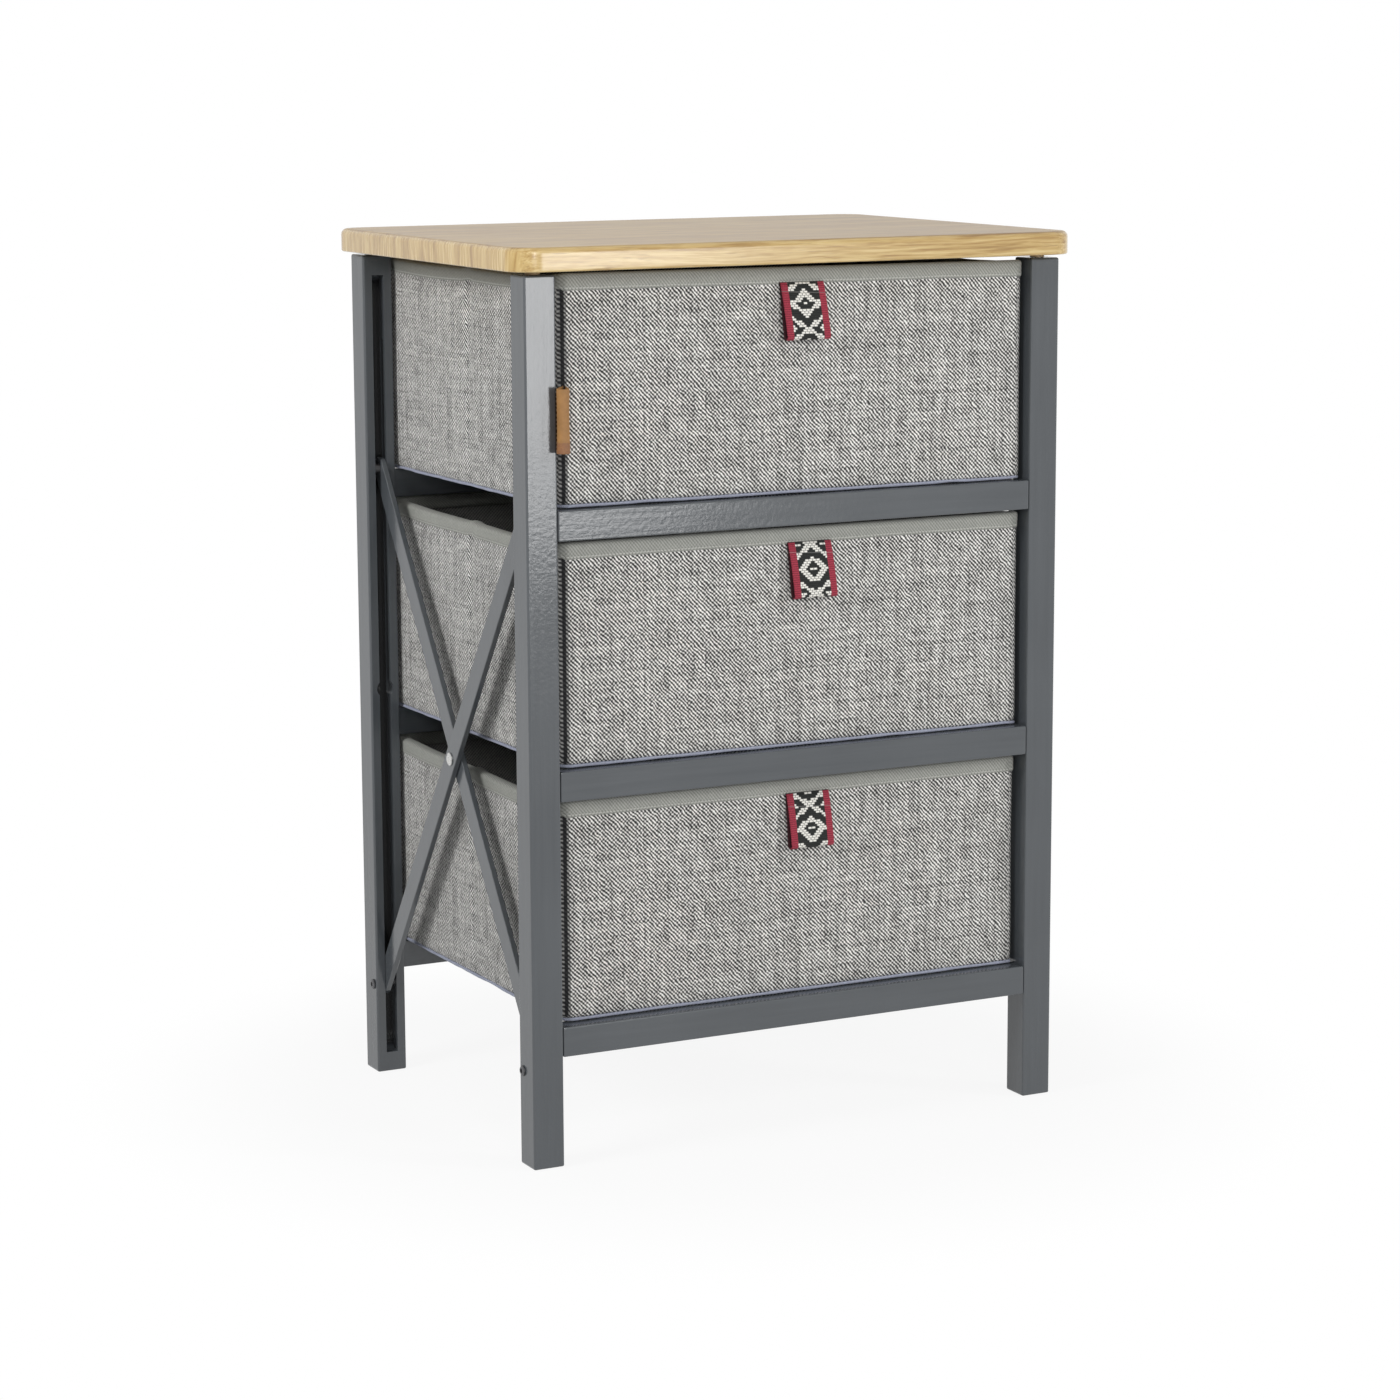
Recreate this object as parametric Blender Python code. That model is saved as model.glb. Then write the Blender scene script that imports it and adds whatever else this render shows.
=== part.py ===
"""Folding cabinet with three fabric drawers, modelled as separate pieces.

Two painted wooden frames, front and rear, are joined on each side by a pair of crossed links.
The lower end of each link turns on a bolt in a grooved post. Its upper end slides in the groove
of the opposite post, so the front frame folds back against the rear one. The table top lifts
off its four stub dowels, and the fabric drawers slide out on the rails.

Frame of the model: metres, +X to the right seen from the front, +Y to the back, +Z up, with the
origin on the floor under the middle of the table top.
"""

import math

import bmesh
import bpy
from mathutils import Vector

MM = 0.001

# Fits
fit_gap = 0.3 * MM  # left between pieces that touch
cut_overrun = 3 * MM  # how far a cutter runs past the surface it opens

# Frames
frame_width = 510 * MM
frame_depth = 374 * MM
post_width = 28 * MM
post_depth = 28 * MM
post_edge_radius = 1.6 * MM
rail_height = 25.5 * MM
rail_depth = 22 * MM
rail_edge_radius = 1.2 * MM
leg_height = 95 * MM  # floor to the underside of the lowest rail
bay_height = 192.8 * MM  # clear height over each rail
bay_count = 3
bay_names = ("lower", "middle", "upper")
drawer_pieces = (
    "cover",
    "lining",
    "rim_tape",
    "piping",
    "front_board",
    "back_board",
    "base_board",
    "left_side_board",
    "right_side_board",
)

# Stub tenons of the rails, clear behind the grooves
tenon_thickness = 5.6 * MM
tenon_height = 17 * MM
tenon_length = 15 * MM
tenon_setback = 4.8 * MM  # from the frame's outer face to the tenon's middle

# Crossed links
link_thickness = 5 * MM
link_width = 20 * MM
link_edge_chamfer = 0.5 * MM
link_pair_gap = 0.4 * MM  # between the two links of a pair
pin_diameter = 6 * MM
pivot_height = 82.4 * MM
pivot_setback = 7.5 * MM  # from the grooved face of a post to the pin's axis
slider_height_share = 0.745  # of the post's height, with the cabinet open
rivet_head_diameter = 11.5 * MM
rivet_head_height = 1.6 * MM
rivet_dimple_diameter = 4.6 * MM
rivet_dimple_depth = 0.8 * MM
rivet_tail_diameter = 9 * MM
rivet_tail_height = 1.2 * MM
bolt_head_diameter = 9 * MM
bolt_head_height = 1.8 * MM
bolt_socket_diameter = 4 * MM
bolt_socket_depth = 1.1 * MM
bolt_end_wall = 2 * MM  # wood left between the bolt's end and the bay
slider_collar_diameter = 9.5 * MM
slider_reach = 2 * MM  # of the sliding pin into the channel on each side

# Grooves in the posts
groove_end_margin = 18 * MM
groove_floor_gap = 1 * MM  # between a link's edge and the groove's floor
keyhole_diameter = 16 * MM
keyhole_height_share = 0.478
channel_end_gap = 12 * MM  # over the slider with the cabinet folded
fold_stop_gap = 0.5 * MM  # between a rivet head and each post when folded

# Table top
top_overhang = 12 * MM
top_thickness = 20 * MM
top_corner_radius = 25 * MM
top_upper_radius = 5 * MM
top_lower_radius = 1.6 * MM
top_lift = 3 * MM  # between the posts and the underside
stub_diameter = 12.4 * MM
stub_socket_depth = 8 * MM

# Drawers
drawer_side_play = 12 * MM
drawer_depth_play = 18 * MM
drawer_headroom = 3.2 * MM
drawer_side_shift = 4 * MM
drawer_setbacks = (14 * MM, 11 * MM, 9 * MM)  # lower, middle, upper
corner_radius = 4.5 * MM
least_corner_radius = 0.6 * MM
cover_thickness = 1.2 * MM
board_thickness = 2.5 * MM
lining_thickness = 0.8 * MM
score_width = 4 * MM  # of the score down a side board, on which the side folds
score_web = 0.6 * MM
rim_thickness = 0.8 * MM
rim_height = 12 * MM
rim_sag = 3.5 * MM
piping_diameter = 3 * MM
piping_proud = 0.4 * MM
floor_lift = 0.8 * MM  # of the cover's floor over the rail
side_y_shares = (0.0, 0.08, 0.46, 0.5, 0.54, 0.92, 1.0)
rim_sag_shares = (0.0, 0.8, 1.15, 0.6, 1.1, 1.0, 1.0)

# Pull loops
strap_width = 45 * MM
strap_length = 49 * MM
strap_thickness = 1.2 * MM
strap_fold_diameter = 8 * MM
strap_side_shifts = (9 * MM, 9 * MM, 0.5 * MM)  # lower, middle, upper

# Leather tag
tag_height = 54 * MM
tag_length = 20 * MM
tag_thickness = 1.4 * MM
tag_fold_diameter = 11 * MM
tag_root_width = 3.4 * MM
tag_base_height_share = 0.25  # of the drawer's height
tag_turn = math.radians(-24)

# Facets
round_steps = 24
pin_steps = 16
corner_steps = 8
edge_steps = 4
drawer_corner_steps = 3
fold_steps = 10
piping_steps = 8

# Sizes that follow
post_height = leg_height + bay_count * (rail_height + bay_height)
post_x = frame_width / 2 - post_width / 2
post_y = frame_depth / 2 - post_depth / 2
inner_face_x = frame_width / 2 - post_width
grooved_face_y = frame_depth / 2 - post_depth
rail_y = frame_depth / 2 - rail_depth / 2
pin_radius = pin_diameter / 2
hole_radius = pin_radius + fit_gap
pivot_y = grooved_face_y + pivot_setback
link_offset = link_thickness / 2 + link_pair_gap / 2
groove_half = link_thickness + link_pair_gap / 2 + fit_gap
groove_depth = pivot_setback + link_width / 2 + groove_floor_gap
slider_height = post_height * slider_height_share
slider_half = groove_half + slider_reach
channel_half = slider_half + fit_gap
keyhole_height = post_height * keyhole_height_share
link_length = math.hypot(2 * pivot_y, slider_height - pivot_height)
open_lean = math.atan2(2 * pivot_y, slider_height - pivot_height)
folded_gap = rivet_head_diameter + 2 * fold_stop_gap
folded_lean = math.asin((folded_gap + 2 * pivot_setback) / link_length)
fold_angle = open_lean - folded_lean
centre_height = (pivot_height + slider_height) / 2
channel_top = pivot_height + link_length * math.cos(folded_lean) + channel_end_gap
top_width = frame_width + 2 * top_overhang
top_depth = frame_depth + 2 * top_overhang
top_underside = post_height + top_lift
drawer_width = 2 * inner_face_x - drawer_side_play
drawer_depth = frame_depth - drawer_depth_play
drawer_height = bay_height - drawer_headroom - fit_gap
rim_proud = rim_thickness + fit_gap
cover_width = drawer_width - 2 * rim_proud
cover_depth = drawer_depth - 2 * rim_proud
board_inset = cover_thickness + fit_gap
lining_inset = board_inset + board_thickness + fit_gap
wall_thickness = lining_inset + lining_thickness
wall_height = drawer_height - rim_proud
step_inset = piping_diameter + fit_gap - piping_proud
step_height = piping_diameter + fit_gap
cover_floor_top = floor_lift + cover_thickness
base_board_z = cover_floor_top + fit_gap
wall_board_z = base_board_z + board_thickness + fit_gap
deepest_sag = rim_sag * max(rim_sag_shares)


def clear_scene():
    for old in list(bpy.data.objects):
        bpy.data.objects.remove(old, do_unlink=True)


def material(name, colour, roughness, metallic=0.0):
    made = bpy.data.materials.new(name)
    made.use_nodes = True
    shader = made.node_tree.nodes["Principled BSDF"]
    shader.inputs["Base Color"].default_value = (*colour, 1.0)
    shader.inputs["Roughness"].default_value = roughness
    shader.inputs["Metallic"].default_value = metallic
    made.diffuse_color = (*colour, 1.0)
    return made


def empty(name, location, parent=None):
    made = bpy.data.objects.new(name, None)
    bpy.context.collection.objects.link(made)
    made.parent = parent
    made.location = location
    return made


def add_object(name, mesh, finish, location=(0, 0, 0), parent=None, turn=(0, 0, 0)):
    made = bpy.data.objects.new(name, mesh)
    bpy.context.collection.objects.link(made)
    made.parent = parent
    made.location = location
    made.rotation_euler = turn
    if finish is not None:
        mesh.materials.append(finish)
    return made


def finish_mesh(name, bm, smooth=True):
    bmesh.ops.recalc_face_normals(bm, faces=bm.faces)
    mesh = bpy.data.meshes.new(name)
    bm.to_mesh(mesh)
    bm.free()
    if smooth:
        mesh.shade_smooth()
        mesh.set_sharp_from_angle(angle=math.radians(35))
    return mesh


def block_mesh(name, low, high):
    bm = bmesh.new()
    bmesh.ops.create_cube(bm, size=1)
    low, high = Vector(low), Vector(high)
    for vert in bm.verts:
        share = vert.co + Vector((0.5, 0.5, 0.5))
        vert.co = low + Vector(a * b for a, b in zip(share, high - low))
    return finish_mesh(name, bm, smooth=False)


def prism_into(bm, outline, place, start, end):
    """Adds an outline extruded from start to end. place(a, b, along) gives the 3-D point."""
    first = [bm.verts.new(place(a, b, start)) for a, b in outline]
    last = [bm.verts.new(place(a, b, end)) for a, b in outline]
    count = len(outline)
    bm.faces.new(first)
    bm.faces.new(reversed(last))
    for i in range(count):
        j = (i + 1) % count
        bm.faces.new((first[j], first[i], last[i], last[j]))


def along_x(a, b, along):
    return Vector((along, a, b))


def along_z(a, b, along):
    return Vector((a, b, along))


def circle(centre_a, centre_b, radius, steps):
    turns = [2 * math.pi * i / steps for i in range(steps)]
    return [(centre_a + radius * math.cos(t), centre_b + radius * math.sin(t)) for t in turns]


def arc(centre, radius, start, end, steps):
    turns = [start + (end - start) * i / steps for i in range(steps + 1)]
    return [(centre[0] + radius * math.cos(t), centre[1] + radius * math.sin(t)) for t in turns]


def turned_mesh(name, profile, steps):
    """Turns a profile of (x, radius) points about the X axis. Its ends lie on the axis."""
    bm = bmesh.new()
    tips = [bm.verts.new((profile[0][0], 0, 0)), bm.verts.new((profile[-1][0], 0, 0))]
    rings = []
    for x, radius in profile[1:-1]:
        rings.append([bm.verts.new((x, a, b)) for a, b in circle(0, 0, radius, steps)])
    for k in range(steps):
        n = (k + 1) % steps
        bm.faces.new((tips[0], rings[0][k], rings[0][n]))
        bm.faces.new((tips[1], rings[-1][n], rings[-1][k]))
        for near, far in zip(rings, rings[1:]):
            bm.faces.new((near[k], far[k], far[n], near[n]))
    return finish_mesh(name, bm)


def pin_profile(steps):
    """A pin's profile from (x, radius) steps: each step is a plain length of one radius."""
    profile = [(steps[0][0], 0)]
    for start, end, radius in steps:
        profile.append((start, radius))
        profile.append((end, radius))
    profile.append((steps[-1][1], 0))
    return profile


def bevel(obj, width, segments):
    made = obj.modifiers.new("edge_round", "BEVEL")
    made.width = width
    made.segments = segments
    made.limit_method = "ANGLE"
    made.angle_limit = math.radians(40)
    return made


def combine(obj, name, mesh, operation):
    """Cuts a mesh, given in the object's own axes, out of the object, or joins it on."""
    helper = bpy.data.objects.new(obj.name + "_" + name, mesh)
    bpy.context.collection.objects.link(helper)
    helper.parent = obj
    helper.hide_render = True
    helper.display_type = "WIRE"
    made = obj.modifiers.new(name, "BOOLEAN")
    made.operation = operation
    made.solver = "EXACT"
    made.object = helper


def cut(obj, name, mesh):
    combine(obj, name, mesh, "DIFFERENCE")


def bores_mesh(name, centres, radius, start, end, steps):
    """Round bores along X at several (y, z) centres, as one cutter."""
    bm = bmesh.new()
    for centre in centres:
        prism_into(bm, circle(*centre, radius, steps), along_x, start, end)
    return finish_mesh(name, bm)


def rail_base(index):
    return leg_height + index * (rail_height + bay_height)


def tenon_outline(y, z, spare):
    """A bar with round ends, as a router leaves it, upright about its middle."""
    radius = tenon_thickness / 2 + spare
    reach = tenon_height / 2 - tenon_thickness / 2
    lower = arc((y, z - reach), radius, math.pi, 2 * math.pi, corner_steps)
    upper = arc((y, z + reach), radius, 0, math.pi, corner_steps)
    return lower + upper


# Posts


def groove_mesh(name, towards):
    """The groove's cutter. Its floor runs out to the face in a quarter round at each end."""
    low, high = groove_end_margin, post_height - groove_end_margin
    face = towards * post_depth / 2
    outline = [(face + towards * cut_overrun, low), (face + towards * cut_overrun, high)]
    for angle in [math.pi / 2 * i / corner_steps for i in range(corner_steps + 1)]:
        depth = groove_depth * math.sin(angle)
        outline.append((face - towards * depth, high - groove_depth * (1 - math.cos(angle))))
    for angle in [math.pi / 2 * (1 - i / corner_steps) for i in range(corner_steps + 1)]:
        depth = groove_depth * math.sin(angle)
        outline.append((face - towards * depth, low + groove_depth * (1 - math.cos(angle))))
    bm = bmesh.new()
    prism_into(bm, outline, along_x, -groove_half, groove_half)
    return finish_mesh(name, bm, smooth=False)


def channel_mesh(name, towards):
    """The wider channel behind the groove's lips, which keeps the sliding pin in."""
    middle = towards * (post_depth / 2 - pivot_setback)
    half = hole_radius
    outline = [
        (middle - half, keyhole_height),
        (middle + half, keyhole_height),
        (middle + half, channel_top),
        (middle - half, channel_top),
    ]
    bm = bmesh.new()
    prism_into(bm, outline, along_x, -channel_half, channel_half)
    return finish_mesh(name, bm, smooth=False)


def keyhole_mesh(name, towards):
    """The round mouth through which the sliding pin is put into the channel."""
    face = towards * post_depth / 2
    floor = towards * (post_depth / 2 - pivot_setback - hole_radius)

    def place(a, b, along):
        return Vector((a, along, b))

    bm = bmesh.new()
    outline = circle(0, keyhole_height, keyhole_diameter / 2, round_steps)
    prism_into(bm, outline, place, floor, face + towards * cut_overrun)
    return finish_mesh(name, bm)


def make_post(name, side, end, finish, parent, origin):
    """side is -1 on the left and 1 on the right. end is -1 at the front and 1 at the rear."""
    towards = -end
    half = Vector((post_width / 2, post_depth / 2, 0))
    mesh = block_mesh(name, -half, half + Vector((0, 0, post_height)))
    place = Vector((side * post_x, end * post_y, 0)) - origin
    post = add_object(name, mesh, finish, place, parent)
    bevel(post, post_edge_radius, 2)
    cut(post, "groove", groove_mesh("groove", towards))
    cut(post, "channel", channel_mesh("channel", towards))
    cut(post, "keyhole", keyhole_mesh("keyhole", towards))
    bolt_y = towards * (post_depth / 2 - pivot_setback)
    outer = side * (post_width / 2 + cut_overrun)
    inner = -side * (post_width / 2 - bolt_end_wall + fit_gap)
    bore = bores_mesh("bore", [(bolt_y, pivot_height)], hole_radius, outer, inner, pin_steps)
    cut(post, "pivot_bore", bore)
    inner_face = -side * post_width / 2
    start = inner_face - side * cut_overrun
    stop = inner_face + side * (tenon_length + fit_gap)
    mortises = bmesh.new()
    for index in range(bay_count):
        middle = rail_base(index) + rail_height / 2
        outline = tenon_outline(end * (post_depth / 2 - tenon_setback), middle, fit_gap)
        prism_into(mortises, outline, along_x, start, stop)
    cut(post, "mortises", finish_mesh("mortises", mortises))
    return post


# Rails


def make_rail(name, index, end, finish, parent, origin):
    half_length = inner_face_x - fit_gap
    low = Vector((-half_length, -rail_depth / 2, 0))
    high = Vector((half_length, rail_depth / 2, rail_height))
    place = Vector((0, end * rail_y, rail_base(index))) - origin
    rail = add_object(name, block_mesh(name, low, high), finish, place, parent)
    bevel(rail, rail_edge_radius, 2)
    tenon_y = end * (rail_depth / 2 - tenon_setback)
    outline = tenon_outline(tenon_y, rail_height / 2, 0)
    for side, label in ((-1, "left_tenon"), (1, "right_tenon")):
        bm = bmesh.new()
        root = side * (half_length - tenon_length)
        tip = side * (inner_face_x + tenon_length)
        prism_into(bm, outline, along_x, root, tip)
        combine(rail, label, finish_mesh(label, bm), "UNION")
    return rail


# Links, pins and rivets


def link_outline():
    """A bar with round ends, from its lower hole at zero up to its upper hole."""
    radius = link_width / 2
    lower = arc((0, 0), radius, math.pi, 2 * math.pi, corner_steps)
    upper = arc((0, link_length), radius, 0, math.pi, corner_steps)
    return lower + upper


def make_link(name, offset, lean, base, finish, parent, place):
    """base is the height, along the link, of the object's origin."""
    bm = bmesh.new()
    outline = [(a, b - base) for a, b in link_outline()]
    prism_into(bm, outline, along_x, offset - link_thickness / 2, offset + link_thickness / 2)
    mesh = finish_mesh(name, bm, smooth=False)
    link = add_object(name, mesh, finish, place, parent, (lean, 0, 0))
    bevel(link, link_edge_chamfer, 1)
    centres = [(0, -base), (0, link_length / 2 - base), (0, link_length - base)]
    start = offset - link_thickness / 2 - cut_overrun
    stop = offset + link_thickness / 2 + cut_overrun
    cut(link, "holes", bores_mesh("holes", centres, hole_radius, start, stop, pin_steps))
    return link


def make_slider(name, offset_sign, finish, parent, place):
    """The sliding pin, with the collar that fills the groove beside its link."""
    collar_start = -offset_sign * (link_pair_gap / 2 - fit_gap)
    collar_end = -offset_sign * (groove_half - fit_gap)
    low, high = sorted((collar_start, collar_end))
    steps = (
        (-slider_half, low, pin_radius),
        (low, high, slider_collar_diameter / 2),
        (high, slider_half, pin_radius),
    )
    mesh = turned_mesh(name, pin_profile(steps), pin_steps)
    return add_object(name, mesh, finish, place, parent)


def make_rivet(name, side, finish, parent, place):
    """The rivet through both links, with its dimpled head on the outside."""
    grip = link_thickness + link_pair_gap / 2 + fit_gap
    head = grip + rivet_head_height
    head_radius = rivet_head_diameter / 2
    dimple_radius = rivet_dimple_diameter / 2
    crown = rivet_head_height / 2
    profile = [
        (head - rivet_dimple_depth, 0),
        (head - rivet_dimple_depth, dimple_radius / 2),
        (head, dimple_radius),
        (head, (dimple_radius + head_radius) / 2),
        (head - crown, head_radius),
        (grip, head_radius),
        (grip, pin_radius),
        (-grip, pin_radius),
        (-grip, rivet_tail_diameter / 2),
        (-grip - rivet_tail_height, pin_radius),
        (-grip - rivet_tail_height, 0),
    ]
    mesh = turned_mesh(name, [(side * x, radius) for x, radius in profile], pin_steps)
    return add_object(name, mesh, finish, place, parent)


def bolt_profile():
    """From the head, outside the post, to the end inside its inner wall."""
    head_face = post_width / 2 + fit_gap
    head_top = head_face + bolt_head_height
    socket = bolt_socket_diameter / 2
    head = bolt_head_diameter / 2
    tip = -(post_width / 2 - bolt_end_wall)
    return [
        (head_top - bolt_socket_depth, 0),
        (head_top - bolt_socket_depth, socket),
        (head_top, socket),
        (head_top, (socket + head) / 2),
        (head_face + bolt_head_height / 2, head),
        (head_face, head),
        (head_face, pin_radius),
        (tip, pin_radius),
        (tip, 0),
    ]


def make_pivot(name, side, end, finish, parent, origin):
    """The bolt on which a link's lower end turns, with its head outside the post."""
    profile = [(side * x, radius) for x, radius in bolt_profile()]
    place = Vector((side * post_x, end * pivot_y, pivot_height)) - origin
    return add_object(name, turned_mesh(name, profile, pin_steps), finish, place, parent)


def make_scissor(label, side, finishes, rear_parent):
    """One side's pair of links. The outer link turns on the rear frame's bolt."""
    painted, steel = finishes
    pivot = (side * post_x, pivot_y, pivot_height)
    outer_name, inner_name = label + "_outer_link", label + "_inner_link"
    offset = side * link_offset
    outer = make_link(outer_name, offset, open_lean, 0, painted, rear_parent, pivot)
    make_slider(label + "_outer_slider", side, steel, outer, (0, 0, link_length))
    middle = (0, 0, link_length / 2)
    make_rivet(label + "_centre_rivet", side, steel, outer, middle)
    half = link_length / 2
    turned_back = -2 * open_lean
    inner = make_link(inner_name, -offset, turned_back, half, painted, outer, middle)
    make_slider(label + "_inner_slider", -side, steel, inner, (0, 0, half))


# Table top


def rounded_outline(width, depth, radius, steps):
    """A rectangle with round corners, centred on the origin, anticlockwise."""
    outline = []
    corners = ((1, 1, 0), (-1, 1, 1), (-1, -1, 2), (1, -1, 3))
    for sx, sy, quarter in corners:
        centre = (sx * (width / 2 - radius), sy * (depth / 2 - radius))
        start = quarter * math.pi / 2
        outline += arc(centre, radius, start, start + math.pi / 2, steps)
    return outline


def make_table_top(finish, parent):
    """Lofted from rounded outlines, with a full round above and a small one below."""
    sections = []
    for i in range(edge_steps + 1):
        angle = math.pi / 2 * i / edge_steps
        inset = top_lower_radius * (1 - math.sin(angle))
        sections.append((inset, top_lower_radius * (1 - math.cos(angle))))
    for i in range(edge_steps + 1):
        angle = math.pi / 2 * i / edge_steps
        inset = top_upper_radius * (1 - math.cos(angle))
        height = top_thickness - top_upper_radius * (1 - math.sin(angle))
        sections.append((inset, height))
    bm = bmesh.new()
    loops = []
    for inset, height in sections:
        radius = top_corner_radius - inset
        outline = rounded_outline(
            top_width - 2 * inset, top_depth - 2 * inset, radius, corner_steps
        )
        loops.append([bm.verts.new((a, b, height)) for a, b in outline])
    bm.faces.new(reversed(loops[0]))
    bm.faces.new(loops[-1])
    count = len(loops[0])
    for near, far in zip(loops, loops[1:]):
        for k in range(count):
            n = (k + 1) % count
            bm.faces.new((near[k], near[n], far[n], far[k]))
    top = add_object("table_top", finish_mesh("table_top", bm), finish, (0, 0, 0), parent)
    holes = bmesh.new()
    for sx in (-1, 1):
        for sy in (-1, 1):
            radius = stub_diameter / 2 + fit_gap
            outline = circle(sx * post_x, sy * post_y, radius, round_steps)
            prism_into(holes, outline, along_z, -cut_overrun, stub_socket_depth + fit_gap)
    cut(top, "stub_sockets", finish_mesh("sockets", holes))
    return top


def make_stubs(finish, parent):
    """The four stub dowels under the top. Each stands over the end of a post."""
    bm = bmesh.new()
    outline = circle(0, 0, stub_diameter / 2, round_steps)
    prism_into(bm, outline, along_z, fit_gap - top_lift, stub_socket_depth)
    mesh = finish_mesh("stub_dowel", bm)
    mesh.materials.append(finish)
    for end, row in ((-1, "front"), (1, "rear")):
        for side, column in ((-1, "left"), (1, "right")):
            name = "top_dowel_" + row + "_" + column
            add_object(name, mesh, None, (side * post_x, end * post_y, 0), parent)


# Drawers


def sag_at(y_share):
    """How far the rim hangs at a share of the drawer's depth, from the table of shares."""
    for k in range(len(side_y_shares) - 1):
        low, high = side_y_shares[k], side_y_shares[k + 1]
        if y_share <= high:
            part = (max(y_share, low) - low) / (high - low)
            blend = rim_sag_shares[k] * (1 - part) + rim_sag_shares[k + 1] * part
            return rim_sag * blend
    return rim_sag * rim_sag_shares[-1]


def drawer_loop(inset):
    """The drawer's plan outline inset from the cover, as (x, y, sag) points."""
    width, depth = cover_width - 2 * inset, cover_depth - 2 * inset
    radius = max(corner_radius - inset, least_corner_radius)
    outline = rounded_outline(width, depth, radius, drawer_corner_steps)
    per_corner = drawer_corner_steps + 1
    inner_shares = side_y_shares[1:-1]
    left = [(-width / 2, (share - 0.5) * cover_depth) for share in reversed(inner_shares)]
    right = [(width / 2, (share - 0.5) * cover_depth) for share in inner_shares]
    points = outline[: 2 * per_corner] + left + outline[2 * per_corner :] + right
    loop = []
    for x, y in points:
        share = (y + cover_depth / 2) / cover_depth
        loop.append((x, y + drawer_depth / 2, sag_at(min(max(share, 0), 1))))
    return loop


def shell_mesh(name, stations, capped):
    """Joins drawer loops given as (inset, height, sags). Capped, it is an open-topped box."""
    bm = bmesh.new()
    rings = []
    for inset, height, sags in stations:
        ring = []
        for x, y, sag in drawer_loop(inset):
            ring.append(bm.verts.new((x, y, height - sag if sags else height)))
        rings.append(ring)
    pairs = list(zip(rings, rings[1:]))
    if not capped:
        pairs.append((rings[-1], rings[0]))
    count = len(rings[0])
    for near, far in pairs:
        for k in range(count):
            n = (k + 1) % count
            bm.faces.new((near[k], near[n], far[n], far[k]))
    if capped:
        bm.faces.new(reversed(rings[0]))
        bm.faces.new(rings[-1])
    return finish_mesh(name, bm)


def cover_mesh(name):
    """The sewn outer cover, stepped in at the bottom round the piping."""
    stations = (
        (step_inset, floor_lift, False),
        (step_inset, step_height, False),
        (0, step_height, False),
        (0, wall_height, True),
        (cover_thickness, wall_height, True),
        (cover_thickness, cover_floor_top, False),
    )
    return shell_mesh(name, stations, True)


def lining_mesh(name):
    floor = wall_board_z
    stations = (
        (lining_inset, floor, False),
        (lining_inset, wall_height, True),
        (wall_thickness, wall_height, True),
        (wall_thickness, floor + lining_thickness, False),
    )
    return shell_mesh(name, stations, True)


def rim_mesh(name):
    """The tape bound over the top edge, an upturned U in section."""
    low = wall_height - rim_height
    stations = (
        (-rim_proud, low, True),
        (-rim_proud, drawer_height, True),
        (wall_thickness + rim_proud, drawer_height, True),
        (wall_thickness + rim_proud, low, True),
        (wall_thickness + fit_gap, low, True),
        (wall_thickness + fit_gap, wall_height + fit_gap, True),
        (-fit_gap, wall_height + fit_gap, True),
        (-fit_gap, low, True),
    )
    return shell_mesh(name, stations, False)


def piping_mesh(name):
    """The round piping sewn into the bottom seam."""
    radius = piping_diameter / 2
    stations = []
    for a, b in circle(radius - piping_proud, radius, radius, piping_steps):
        stations.append((a, b, False))
    return shell_mesh(name, stations, False)


def board_meshes():
    """The stiffening boards between cover and lining."""
    half = cover_width / 2 - board_inset
    front = rim_proud + board_inset
    back = drawer_depth - front
    corner = corner_radius
    low, board = wall_board_z, board_thickness
    front_top = wall_height - fit_gap
    side_top = wall_height - deepest_sag - fit_gap
    ends_half = half - corner
    side_start = front + corner
    side_stop = back - corner
    middle = drawer_depth / 2
    front_board = block_mesh(
        "front_board", (-ends_half, front, low), (ends_half, front + board, front_top)
    )
    back_board = block_mesh(
        "back_board", (-ends_half, back - board, low), (ends_half, back, side_top)
    )
    base_board = block_mesh(
        "base_board",
        (-half + corner, front + corner, base_board_z),
        (half - corner, back - corner, base_board_z + board),
    )
    sides = []
    for side in (-1, 1):
        bm = bmesh.new()
        outline = [
            (side * half, side_start),
            (side * (half - board), side_start),
            (side * (half - board), middle - score_width / 2),
            (side * (half - score_web), middle),
            (side * (half - board), middle + score_width / 2),
            (side * (half - board), side_stop),
            (side * half, side_stop),
        ]
        prism_into(bm, outline, along_z, low, side_top)
        sides.append(finish_mesh("side_board", bm, smooth=False))
    return front_board, back_board, base_board, *sides


def tangent_turn(root, centre, radius, sign):
    away = (root[0] - centre[0], root[1] - centre[1])
    return math.atan2(away[1], away[0]) + sign * math.acos(radius / math.hypot(*away))


def loop_outline(near_root, far_root, centre, thickness, fold_diameter):
    """Section of a strip folded round a circle, with its two ends at the roots."""
    middle_radius = (fold_diameter - thickness) / 2
    start = tangent_turn(near_root, centre, middle_radius, 1)
    stop = tangent_turn(far_root, centre, middle_radius, -1)
    while stop < start:
        stop += 2 * math.pi
    half = thickness / 2
    sides = []
    for grow in (half, -half):
        points = arc(centre, middle_radius + grow, start, stop, fold_steps)
        ends = []
        for root, turn in ((near_root, start), (far_root, stop)):
            shift = (grow * math.cos(turn), grow * math.sin(turn))
            ends.append((root[0] + shift[0], root[1] + shift[1]))
        sides.append([ends[0]] + points + [ends[1]])
    return sides[0] + list(reversed(sides[1]))


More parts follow.
